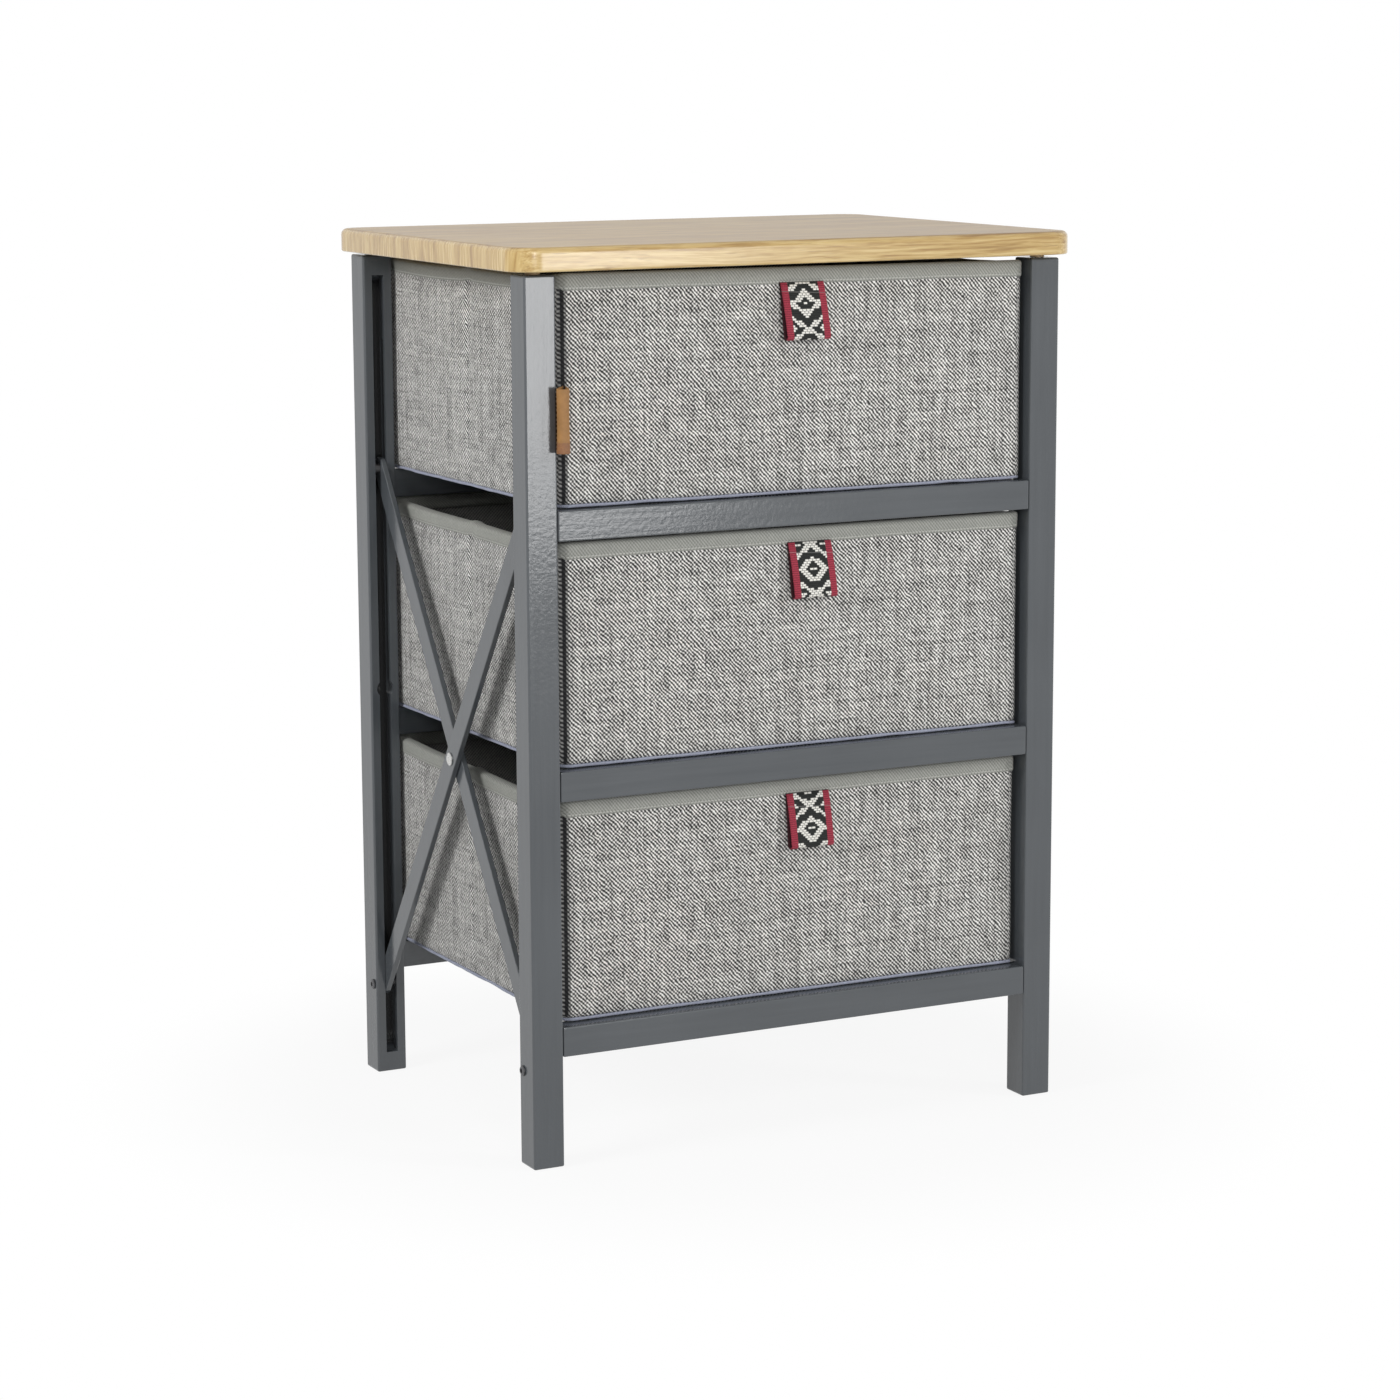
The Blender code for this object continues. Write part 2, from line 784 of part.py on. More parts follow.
def strap_mesh(name):
    """The pull loop. Its back leg hangs against the cover and its fold stands off it."""
    half = strap_thickness / 2
    back = -(fit_gap + half)
    fold_radius = (strap_fold_diameter - strap_thickness) / 2
    centre = (back - fold_radius, strap_fold_diameter / 2 - strap_length)
    near_root = (back, 0)
    far_root = (back - strap_thickness - fit_gap, 0)
    outline = loop_outline(
        far_root, near_root, centre, strap_thickness, strap_fold_diameter
    )
    bm = bmesh.new()
    prism_into(bm, outline, along_x, -strap_width / 2, strap_width / 2)
    return finish_mesh(name, bm)


def tag_mesh(name):
    """The leather tag, a strip folded round and sewn by both ends into the corner seam."""
    root_half = (tag_root_width - tag_thickness) / 2
    centre = (0, tag_fold_diameter / 2 - tag_length)
    outline = loop_outline(
        (-root_half, 0), (root_half, 0), centre, tag_thickness, tag_fold_diameter
    )
    bm = bmesh.new()
    prism_into(bm, outline, along_z, 0, tag_height)
    return finish_mesh(name, bm)


def make_drawer(index, meshes):
    label = bay_names[index] + "_drawer"
    front_y = drawer_setbacks[index] - frame_depth / 2
    base_z = rail_base(index) + rail_height + fit_gap
    hub = empty(label + "_slide", (drawer_side_shift, front_y, base_z))
    for piece in drawer_pieces:
        add_object(label + "_" + piece, meshes[piece], None, (0, 0, 0), hub)
    strap_top = wall_height - rim_height - fit_gap
    strap_place = (strap_side_shifts[index], rim_proud, strap_top)
    add_object(label + "_pull_loop", meshes["strap"], None, strap_place, hub)
    return hub


def make_tag(finish, hub):
    """Stands off the front left corner of the upper drawer, in the gap beside the post."""
    reach = corner_radius + fit_gap
    place = (
        corner_radius - cover_width / 2 + reach * math.sin(tag_turn),
        rim_proud + corner_radius - reach * math.cos(tag_turn),
        drawer_height * tag_base_height_share,
    )
    turn = (0, 0, tag_turn)
    add_object("upper_drawer_leather_tag", tag_mesh("tag"), finish, place, hub, turn)


def make_finishes():
    return {
        "paint": material("slate_paint", (0.125, 0.135, 0.145), 0.38),
        "steel": material("bright_steel", (0.62, 0.62, 0.6), 0.28, 1.0),
        "beech": material("bare_beech", (0.62, 0.43, 0.24), 0.6),
        "oak": material("light_oak", (0.66, 0.49, 0.28), 0.45),
        "fabric": material("woven_fabric", (0.36, 0.355, 0.335), 0.9),
        "lining": material("dark_lining", (0.045, 0.045, 0.04), 0.9),
        "tape": material("rim_tape", (0.33, 0.33, 0.29), 0.85),
        "piping": material("grey_piping", (0.36, 0.38, 0.43), 0.8),
        "board": material("fibre_board", (0.3, 0.22, 0.14), 0.85),
        "webbing": material("patterned_webbing", (0.2, 0.03, 0.05), 0.8),
        "leather": material("tan_leather", (0.43, 0.2, 0.075), 0.5),
    }


def with_finish(mesh, finish):
    mesh.materials.append(finish)
    return mesh


def make_drawer_meshes(finishes):
    """The pieces that the three drawers share, each with its finish."""
    meshes = {
        "cover": with_finish(cover_mesh("cover"), finishes["fabric"]),
        "lining": with_finish(lining_mesh("lining"), finishes["lining"]),
        "rim_tape": with_finish(rim_mesh("rim_tape"), finishes["tape"]),
        "piping": with_finish(piping_mesh("piping"), finishes["piping"]),
        "strap": with_finish(strap_mesh("strap"), finishes["webbing"]),
    }
    for piece, mesh in zip(drawer_pieces[4:], board_meshes()):
        meshes[piece] = with_finish(mesh, finishes["board"])
    return meshes


def make_frame(label, end, hub, origin, finishes):
    for side, side_name in ((-1, "left"), (1, "right")):
        name = label + "_" + side_name + "_post"
        make_post(name, side, end, finishes["paint"], hub, origin)
    for index in range(bay_count):
        name = label + "_" + bay_names[index] + "_rail"
        make_rail(name, index, end, finishes["paint"], hub, origin)
    for side, side_name in ((-1, "left"), (1, "right")):
        name = label + "_" + side_name + "_pivot_bolt"
        make_pivot(name, side, end, finishes["steel"], hub, origin)


def main():
    clear_scene()
    finishes = make_finishes()
    rear_hub = empty("rear_frame", (0, 0, 0))
    make_frame("rear", 1, rear_hub, Vector((0, 0, 0)), finishes)
    front_origin = Vector((0, -pivot_y, pivot_height))
    front_hub = empty("front_frame_pivot", front_origin)
    make_frame("front", -1, front_hub, front_origin, finishes)
    for side, label in ((-1, "left"), (1, "right")):
        make_scissor(label, side, (finishes["paint"], finishes["steel"]), rear_hub)
    top_hub = empty("table_top_lift", (0, 0, top_underside))
    make_table_top(finishes["oak"], top_hub)
    make_stubs(finishes["beech"], top_hub)
    meshes = make_drawer_meshes(finishes)
    for index in range(bay_count):
        hub = make_drawer(index, meshes)
    make_tag(finishes["leather"], hub)
    bpy.context.view_layer.update()


main()
print("post height mm", round(post_height / MM, 2))
print("fold angle degrees", round(math.degrees(fold_angle), 3))
print("open lean degrees", round(math.degrees(open_lean), 3))
print("slider height mm", round(slider_height / MM, 2))
print("link length mm", round(link_length / MM, 2))
print("centre height mm", round(centre_height / MM, 2))
print("drawer mm", [round(v / MM, 2) for v in (drawer_width, drawer_depth, drawer_height)])
print("table top height mm", round((top_underside + top_thickness) / MM, 2))
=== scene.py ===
import math

import bpy
from mathutils import Matrix, Vector, noise


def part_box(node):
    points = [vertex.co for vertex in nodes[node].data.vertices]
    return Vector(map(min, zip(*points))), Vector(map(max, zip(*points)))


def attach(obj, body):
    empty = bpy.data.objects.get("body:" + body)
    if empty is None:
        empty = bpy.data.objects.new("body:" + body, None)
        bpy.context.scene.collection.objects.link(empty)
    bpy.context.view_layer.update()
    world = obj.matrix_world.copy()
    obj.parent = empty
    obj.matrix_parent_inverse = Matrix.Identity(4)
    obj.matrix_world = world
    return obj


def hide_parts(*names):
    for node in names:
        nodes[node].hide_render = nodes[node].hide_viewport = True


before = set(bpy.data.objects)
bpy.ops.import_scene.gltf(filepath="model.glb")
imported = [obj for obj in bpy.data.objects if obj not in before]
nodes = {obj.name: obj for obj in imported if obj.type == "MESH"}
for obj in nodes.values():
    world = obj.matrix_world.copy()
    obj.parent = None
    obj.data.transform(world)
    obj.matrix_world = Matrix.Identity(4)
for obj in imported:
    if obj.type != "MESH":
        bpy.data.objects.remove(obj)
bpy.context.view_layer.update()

MM = 0.001
LEVELS = ("lower", "middle", "upper")
WEAVE_MAP = "cloth_metres"


# Node trees


class Net:
    """Short calls that add nodes to a tree. Inputs are sockets or plain values."""

    def __init__(self, tree):
        self.tree = tree

    def node(self, kind, **settings):
        made = self.tree.nodes.new(kind)
        for key, value in settings.items():
            setattr(made, key, value)
        return made

    def put(self, socket, value):
        if isinstance(value, bpy.types.NodeSocket):
            self.tree.links.new(value, socket)
        elif isinstance(value, (tuple, list)) and len(value) == 3 and socket.type == "RGBA":
            socket.default_value = (*value, 1.0)
        else:
            socket.default_value = value

    def math(self, operation, a, b=0.0):
        made = self.node("ShaderNodeMath", operation=operation)
        self.put(made.inputs[0], a)
        self.put(made.inputs[1], b)
        return made.outputs[0]

    def add(self, a, b):
        return self.math("ADD", a, b)

    def sub(self, a, b):
        return self.math("SUBTRACT", a, b)

    def mul(self, a, b):
        return self.math("MULTIPLY", a, b)

    def over(self, a, b):
        return self.math("DIVIDE", a, b)

    def size(self, a):
        return self.math("ABSOLUTE", a)

    def below(self, a, b):
        return self.math("LESS_THAN", a, b)

    def square(self, a):
        return self.math("MULTIPLY", a, a)

    def span(self, value, low, high, to_low=0.0, to_high=1.0):
        made = self.node("ShaderNodeMapRange", interpolation_type="SMOOTHSTEP")
        for key, given in (("Value", value), ("From Min", low), ("From Max", high),
                           ("To Min", to_low), ("To Max", to_high)):
            self.put(made.inputs[key], given)
        return made.outputs[0]

    def mix(self, share, a, b, blend="MIX"):
        made = self.node("ShaderNodeMix", data_type="RGBA", blend_type=blend)
        self.put(made.inputs[0], share)
        self.put(made.inputs[6], a)
        self.put(made.inputs[7], b)
        return made.outputs[2]

    def blend(self, share, a, b):
        made = self.node("ShaderNodeMix", data_type="FLOAT")
        for index, value in ((0, share), (2, a), (3, b)):
            self.put(made.inputs[index], value)
        return made.outputs[0]

    def scaled(self, vector, scale):
        made = self.node("ShaderNodeVectorMath", operation="MULTIPLY")
        self.put(made.inputs[0], vector)
        self.put(made.inputs[1], scale)
        return made.outputs[0]

    def parts(self, vector):
        made = self.node("ShaderNodeSeparateXYZ")
        self.put(made.inputs[0], vector)
        return made.outputs

    def joined(self, x, y=0.0, z=0.0):
        made = self.node("ShaderNodeCombineXYZ")
        for socket, value in zip(made.inputs, (x, y, z)):
            self.put(socket, value)
        return made.outputs[0]

    def noise(self, vector, scale=1.0, detail=2.0, rough=0.5, bend=0.0, colour=False):
        made = self.node("ShaderNodeTexNoise")
        for key, value in (("Vector", vector), ("Scale", scale), ("Detail", detail),
                           ("Roughness", rough), ("Distortion", bend)):
            self.put(made.inputs[key], value)
        return made.outputs[1 if colour else 0]

    def ramp(self, value, *stops):
        made = self.node("ShaderNodeValToRGB")
        self.put(made.inputs[0], value)
        items = made.color_ramp.elements
        while len(items) < len(stops):
            items.new(0.5)
        for item, (spot, colour) in zip(items, stops):
            item.position = spot
            item.color = (*colour, 1.0)
        return made.outputs[0]

    def bump(self, height, distance, strength=1.0, under=None):
        made = self.node("ShaderNodeBump")
        self.put(made.inputs["Height"], height)
        self.put(made.inputs["Distance"], distance)
        self.put(made.inputs["Strength"], strength)
        if under is not None:
            self.put(made.inputs["Normal"], under)
        return made.outputs[0]

    def use(self, effect, **values):
        """Places a node group and returns its outputs by name."""
        made = self.node("ShaderNodeGroup", node_tree=effect)
        for key, value in values.items():
            self.put(made.inputs[key.replace("_", " ")], value)
        return {socket.name: socket for socket in made.outputs}


class Finish(Net):
    """A material. Its Principled shader stays in it."""

    def __init__(self, name):
        self.material = bpy.data.materials.new(name)
        self.material.use_nodes = True
        super().__init__(self.material.node_tree)
        self.bsdf = self.tree.nodes["Principled BSDF"]

    def set(self, **values):
        for key, value in values.items():
            self.put(self.bsdf.inputs[key.replace("_", " ")], value)

    def place(self):
        return self.node("ShaderNodeTexCoord").outputs["Object"]

    def cloth_place(self):
        """Where a point is on its cloth, in metres along and up."""
        return self.node("ShaderNodeUVMap", uv_map=WEAVE_MAP).outputs[0]


class Effect(Net):
    """A node group with named inputs and outputs."""

    def __init__(self, name, inputs, outputs):
        group = bpy.data.node_groups.new(name, "ShaderNodeTree")
        super().__init__(group)
        for label, kind in inputs:
            group.interface.new_socket(label, in_out="INPUT", socket_type=f"NodeSocket{kind}")
        for label, kind in outputs:
            group.interface.new_socket(label, in_out="OUTPUT", socket_type=f"NodeSocket{kind}")
        self.given = group.nodes.new("NodeGroupInput").outputs
        self.shown = group.nodes.new("NodeGroupOutput").inputs

    def give(self, **values):
        for key, value in values.items():
            self.put(self.shown[key.replace("_", " ")], value)
        return self.tree


# Effects that several finishes share


def plain_weave():
    """Floats of warp and weft in turn, joined into slanting lines, with flecks on each thread."""
    g = Effect("plain_weave",
               (("Place", "Vector"), ("Pitch", "Float"), ("Fleck Length", "Float"),
                ("Seed", "Float"), ("Waver", "Float")),
               (("Float", "Float"), ("Fleck", "Float")))
    u, v = g.parts(g.given["Place"])[:2]
    pitch, seed = g.given["Pitch"], g.given["Seed"]
    drift = g.mul(pitch, g.given["Waver"])
    patch_scale = 150.0
    wave_u = g.noise(g.joined(u, v, seed), patch_scale)
    wave_v = g.noise(g.joined(u, v, g.add(seed, 5.0)), patch_scale)
    across = g.over(g.add(u, g.mul(g.sub(wave_u, 0.5), drift)), pitch)
    along = g.over(g.add(v, g.mul(g.sub(wave_v, 0.5), drift)), pitch)
    slant = g.math("COSINE", g.mul(g.add(across, along), math.pi))
    mirror = g.math("COSINE", g.mul(g.sub(across, along), math.pi))
    patch = g.noise(g.joined(u, v, g.add(seed, 13.0)), patch_scale)
    slant_share = g.span(patch, 0.34, 0.60, 0.28, 0.42)
    mirror_share = g.sub(0.5, slant_share)
    lifted = g.add(0.5, g.add(g.mul(slant, slant_share), g.mul(mirror, mirror_share)))
    reach = g.over(1.0, g.given["Fleck Length"])
    thread_step, long_share, near_share = 7.31, 0.16, 0.62

    def thread_tone(number, along_thread, start):
        """Short flecks over the slower change of tone along one thread."""
        row = g.mul(number, thread_step)
        near_by = g.noise(g.joined(row, g.mul(along_thread, reach), start), 1.0, 1.0, 0.6)
        far = g.mul(along_thread, g.mul(reach, long_share))
        slow = g.noise(g.joined(row, far, g.add(start, 3.0)), 1.0, 0.0)
        return g.add(g.mul(near_by, near_share), g.mul(slow, 1.0 - near_share))

    warp = thread_tone(g.math("FLOOR", across), v, seed)
    weft = thread_tone(g.math("FLOOR", along), u, g.add(seed, 9.0))
    share = g.add(0.3, g.mul(lifted, 0.4))
    return g.give(Float=lifted, Fleck=g.blend(share, weft, warp))


def brushed_paint():
    """Satin slate paint, brushed along the wood, over a little of its grain."""
    g = Effect("brushed_paint", (("Place", "Vector"), ("Stretch", "Vector")),
               (("Colour", "Color"), ("Roughness", "Float"), ("Grain", "Float"),
                ("Peel", "Float")))
    place = g.given["Place"]
    grain = g.noise(g.scaled(place, g.given["Stretch"]), 1.0, 3.0, 0.6, 0.4)
    cloud = g.noise(place, 9.0)
    peel = g.noise(place, 230.0, 2.0, 0.55)
    tone = g.add(g.mul(grain, 0.5), g.mul(cloud, 0.5))
    colour = g.ramp(tone, (0.3, (0.061, 0.068, 0.075)), (0.7, (0.077, 0.085, 0.093)))
    rough = g.add(g.span(cloud, 0.2, 0.8, 0.14, 0.19), g.mul(g.sub(grain, 0.5), 0.06))
    return g.give(Colour=colour, Roughness=rough, Grain=grain, Peel=peel)


def wood_fibre():
    """Long fibres along X, with the open pores that show as short dark strokes."""
    g = Effect("wood_fibre", (("Place", "Vector"), ("Fibre Scale", "Vector"),
                              ("Pore Scale", "Vector")),
               (("Fibre", "Float"), ("Pores", "Float")))
    fibre = g.noise(g.scaled(g.given["Place"], g.given["Fibre Scale"]), 1.0, 3.0, 0.62, 0.2)
    pores = g.noise(g.scaled(g.given["Place"], g.given["Pore Scale"]), 1.0, 2.0, 0.5)
    return g.give(Fibre=fibre, Pores=g.span(pores, 0.58, 0.74))


WEAVE, PAINT, FIBRE = plain_weave(), brushed_paint(), wood_fibre()


# Finishes


def slate_paint(name, stretch, groove_shade=False):
    """stretch gives the brush marks' scale on each axis. For the posts, painted shade darkens the
    grooves to near black from a set depth inside.
    """
    s = Finish(name)
    place = s.place()
    out = s.use(PAINT, Place=place, Stretch=stretch)
    colour = out["Colour"]
    if groove_shade:
        x, y, _ = s.parts(place)
        post_x, dark_half = 241 * MM, 8.3 * MM
        dark_start, dark_full, dark_end = 167 * MM, 174 * MM, 179.4 * MM
        beside = s.below(s.size(s.sub(s.size(x), post_x)), dark_half)
        deep_shade = s.mul(s.span(s.size(y), dark_start, dark_full),
                     s.below(s.size(y), dark_end))
        # Painted shade inside the posts' grooves: near black from a set depth inwards.
        colour = s.mix(s.mul(beside, deep_shade), colour, (0.016, 0.017, 0.018))
    soft = s.bump(out["Grain"], 0.0003, 0.3)
    s.set(Base_Color=colour, Roughness=out["Roughness"], Specular_IOR_Level=0.65,
          Normal=s.bump(out["Peel"], 0.00012, 0.9, soft))
    return s.material


def light_oak():
    """Long grain along X. The two ends show upright streaks of their own. The upward face has
    painted shade: darker and less yellow than the edges.
    """
    s = Finish("light_oak")
    place = s.place()
    bend = s.noise(s.scaled(place, (3.0, 14.0, 14.0)), 1.0, 2.0, 0.5, 0.0, True)
    warped = s.mix(0.02, place, bend, "ADD")
    arch = s.node("ShaderNodeTexWave", wave_type="BANDS", bands_direction="Z")
    s.put(arch.inputs["Vector"], s.scaled(warped, (1.6, 9.0, 11.0)))
    for key, value in (("Scale", 5.0), ("Distortion", 7.5), ("Detail", 3.0),
                       ("Detail Scale", 1.6), ("Detail Roughness", 0.6)):
        arch.inputs[key].default_value = value
    facing = s.parts(s.node("ShaderNodeTexCoord").outputs["Normal"])
    end = s.span(s.size(facing[0]), 0.55, 0.8)
    face_start, face_full = 0.7, 0.95
    flat = s.use(FIBRE, Place=warped, Fibre_Scale=(14.0, 420.0, 420.0),
                 Pore_Scale=(30.0, 600.0, 600.0))
    upright = s.use(FIBRE, Place=warped, Fibre_Scale=(60.0, 300.0, 20.0),
                    Pore_Scale=(60.0, 900.0, 45.0))
    fibre = s.blend(end, flat["Fibre"], upright["Fibre"])
    pores = s.blend(end, flat["Pores"], upright["Pores"])
    broad_flat = s.noise(s.scaled(warped, (2.4, 50.0, 60.0)), 1.0, 2.0, 0.55, 0.6)
    broad_end = s.noise(s.scaled(warped, (2.4, 70.0, 5.0)), 1.0, 2.0, 0.55)
    broad = s.blend(end, broad_flat, broad_end)
    bands = s.blend(end, s.mul(arch.outputs[1], 0.10), s.mul(broad_end, 0.10))
    tone = s.add(s.mul(broad, 0.30), s.add(bands, s.mul(fibre, 0.62)))
    base = s.ramp(tone, (0.34, (0.27, 0.150, 0.040)), (0.44, (0.38, 0.235, 0.072)),
                  (0.51, (0.47, 0.315, 0.112)), (0.59, (0.54, 0.385, 0.155)),
                  (0.70, (0.62, 0.47, 0.22)))
    base = s.mix(s.mul(pores, 0.6), base, (0.27, 0.15, 0.05))
    # Painted shade on the upward face.
    face_shade = s.mix(1.0, base, (0.84, 0.78, 0.66), "MULTIPLY")
    base = s.mix(s.span(facing[2], face_start, face_full), base, face_shade)
    height = s.sub(s.mul(fibre, 0.5), s.mul(pores, 0.6))
    duller = s.span(facing[2], face_start, face_full, 0.0, 0.06)
    s.set(Base_Color=base, Roughness=s.add(duller, s.span(fibre, 0.2, 0.8, 0.22, 0.30)),
          Specular_IOR_Level=0.4, Coat_Roughness=0.24,
          Coat_Weight=s.span(facing[2], face_start, face_full, 0.8, 0.0),
          Normal=s.bump(height, 0.0002, 0.15))
    return s.material


def bare_beech():
    s = Finish("bare_beech")
    out = s.use(FIBRE, Place=s.place(), Fibre_Scale=(260.0, 260.0, 30.0),
                Pore_Scale=(900.0, 900.0, 160.0))
    base = s.ramp(out["Fibre"], (0.3, (0.46, 0.29, 0.13)), (0.7, (0.68, 0.49, 0.28)))
    base = s.mix(s.mul(out["Pores"], 0.3), base, (0.36, 0.21, 0.09))
    s.set(Base_Color=base, Roughness=0.62, Normal=s.bump(out["Fibre"], 0.0002, 0.4))
    return s.material


def fibre_board():
    s = Finish("fibre_board")
    out = s.use(FIBRE, Place=s.place(), Fibre_Scale=(90.0, 240.0, 240.0),
                Pore_Scale=(600.0, 600.0, 600.0))
    base = s.ramp(out["Fibre"], (0.35, (0.20, 0.135, 0.08)), (0.65, (0.36, 0.26, 0.16)))
    base = s.mix(s.mul(out["Pores"], 0.5), base, (0.13, 0.09, 0.05))
    s.set(Base_Color=base, Roughness=0.9, Normal=s.bump(out["Fibre"], 0.0002, 0.5))
    return s.material


def turned_steel(name, dark, light, low_rough, high_rough):
    """Lathe marks run round the X axis."""
    s = Finish(name)
    turned = s.noise(s.scaled(s.place(), (40.0, 900.0, 900.0)))
    s.set(Base_Color=s.ramp(turned, (0.3, dark), (0.7, light)), Metallic=1.0,
          Roughness=s.span(turned, 0.3, 0.7, low_rough, high_rough),
          Normal=s.bump(turned, 0.00004, 0.4))
    return s.material


def drawer_cloth():
    """Coarse weave, with painted shade where threads lie low and painted light where they lie
    high, and painted shade in the sewn front corners and on the side strips beyond them.
    """
    s = Finish("drawer_cloth")
    out = s.use(WEAVE, Place=s.cloth_place(), Pitch=1.86 * MM, Fleck_Length=18 * MM, Seed=4.0,
                Waver=1.5)
    # Painted shade where the weave lies low and painted light where it lies high, over each
    # thread's own flecks.
    level = s.add(s.mul(s.sub(out["Float"], 0.5), 1.15), s.mul(s.sub(out["Fleck"], 0.5), 1.45))
    thread = s.ramp(s.add(level, 0.48), (0.0, (0.024, 0.024, 0.024)), (0.3, (0.11, 0.109, 0.106)),
                    (0.5, (0.285, 0.282, 0.270)), (0.7, (0.53, 0.52, 0.50)),
                    (1.0, (0.90, 0.89, 0.86)))
    x, y, _ = s.parts(s.place())
    side_shift, seam_x, strip_x = 4.0 * MM, 219.6 * MM, 216.5 * MM
    from_middle = s.size(s.sub(x, side_shift))
    from_seam = s.size(s.sub(from_middle, seam_x))
    # Painted shade: a dark line in the crease of each sewn front corner.
    seam = s.mul(s.sub(1.0, s.span(from_seam, 0.7 * MM, 1.7 * MM)), s.below(y, -168 * MM))
    # Painted shadow: the strip of side cloth beyond each front corner, darkened by half.
    strip = s.mul(s.below(strip_x, from_middle), s.below(y, -166 * MM))
    thread = s.mix(s.mul(strip, 0.5), thread, (0.05, 0.05, 0.052))
    s.set(Base_Color=s.mix(s.mul(seam, 0.93), thread, (0.018, 0.018, 0.020)), Roughness=0.92,
          Specular_IOR_Level=0.2, Sheen_Weight=0.08, Sheen_Roughness=0.5,
          Normal=s.bump(out["Float"], 0.0004, 0.5))
    return s.material


def rim_tape():
    """Fine even tape with a row of stitches near its lower edge, painted shade between its threads
    and along its turned-under lower edge.
    """
    s = Finish("rim_tape")
    place = s.cloth_place()
    u, v = s.parts(place)[:2]
    out = s.use(WEAVE, Place=place, Pitch=1.5 * MM, Fleck_Length=6 * MM, Seed=11.0, Waver=0.3)
    base = s.ramp(out["Fleck"], (0.3, (0.31, 0.315, 0.29)), (0.7, (0.395, 0.40, 0.365)))
    # Painted shade where the tape's threads lie low.
    base = s.mix(1.0, base, s.span(out["Float"], 0.1, 0.9, 0.62, 1.0), "MULTIPLY")
    stitch_length, row_height = 3.2 * MM, 2.0 * MM
    dash = s.math("FRACT", s.over(u, stitch_length))
    on = s.mul(s.span(dash, 0.12, 0.2), s.sub(1.0, s.span(dash, 0.78, 0.86)))
    from_row = s.size(s.sub(v, row_height))
    sewn = s.mul(on, s.sub(1.0, s.span(from_row, 0.3 * MM, 0.55 * MM)))
    pulled = s.sub(1.0, s.span(from_row, 0.3 * MM, 1.2 * MM))
    base = s.mix(s.mul(sewn, 0.7), base, (0.55, 0.55, 0.51))
    # Painted shade along the lower edge, where the tape turns under against the cover.
    edge = s.sub(1.0, s.span(v, 0.2 * MM, 1.1 * MM))
    base = s.mix(s.mul(edge, 0.45), base, (0.16, 0.16, 0.15))
    height = s.add(s.mul(out["Float"], 0.3), s.sub(s.mul(sewn, 0.8), s.mul(pulled, 0.8)))
    s.set(Base_Color=base, Roughness=0.82, Specular_IOR_Level=0.25, Sheen_Weight=0.06,
          Normal=s.bump(height, 0.0003, 0.7))
    return s.material


def dark_lining():
    s = Finish("dark_lining")
    out = s.use(WEAVE, Place=s.cloth_place(), Pitch=1.6 * MM, Fleck_Length=9 * MM, Seed=21.0,
                Waver=0.5)
    base = s.ramp(out["Fleck"], (0.3, (0.20, 0.198, 0.188)), (0.7, (0.31, 0.305, 0.29)))
    # Painted shade where the lining's threads lie low.
    base = s.mix(1.0, base, s.span(out["Float"], 0.1, 0.9, 0.5, 1.0), "MULTIPLY")
    s.set(Base_Color=base, Roughness=0.88, Specular_IOR_Level=0.2,
          Normal=s.bump(out["Float"], 0.0002, 0.6))
    return s.material


def grey_piping():
    s = Finish("grey_piping")
    u, v = s.parts(s.cloth_place())[:2]
    twist = s.math("SINE", s.mul(s.add(u, s.mul(v, 0.6)), 5200.0))
    flock = s.noise(s.joined(u, v, 2.0), 700.0, 2.0, 0.6)
    base = s.ramp(s.add(s.mul(twist, 0.12), flock),
                  (0.3, (0.24, 0.255, 0.33)), (0.75, (0.42, 0.445, 0.54)))
    s.set(Base_Color=base, Roughness=0.8, Specular_IOR_Level=0.25,
          Normal=s.bump(twist, 0.0002, 0.5))
    return s.material


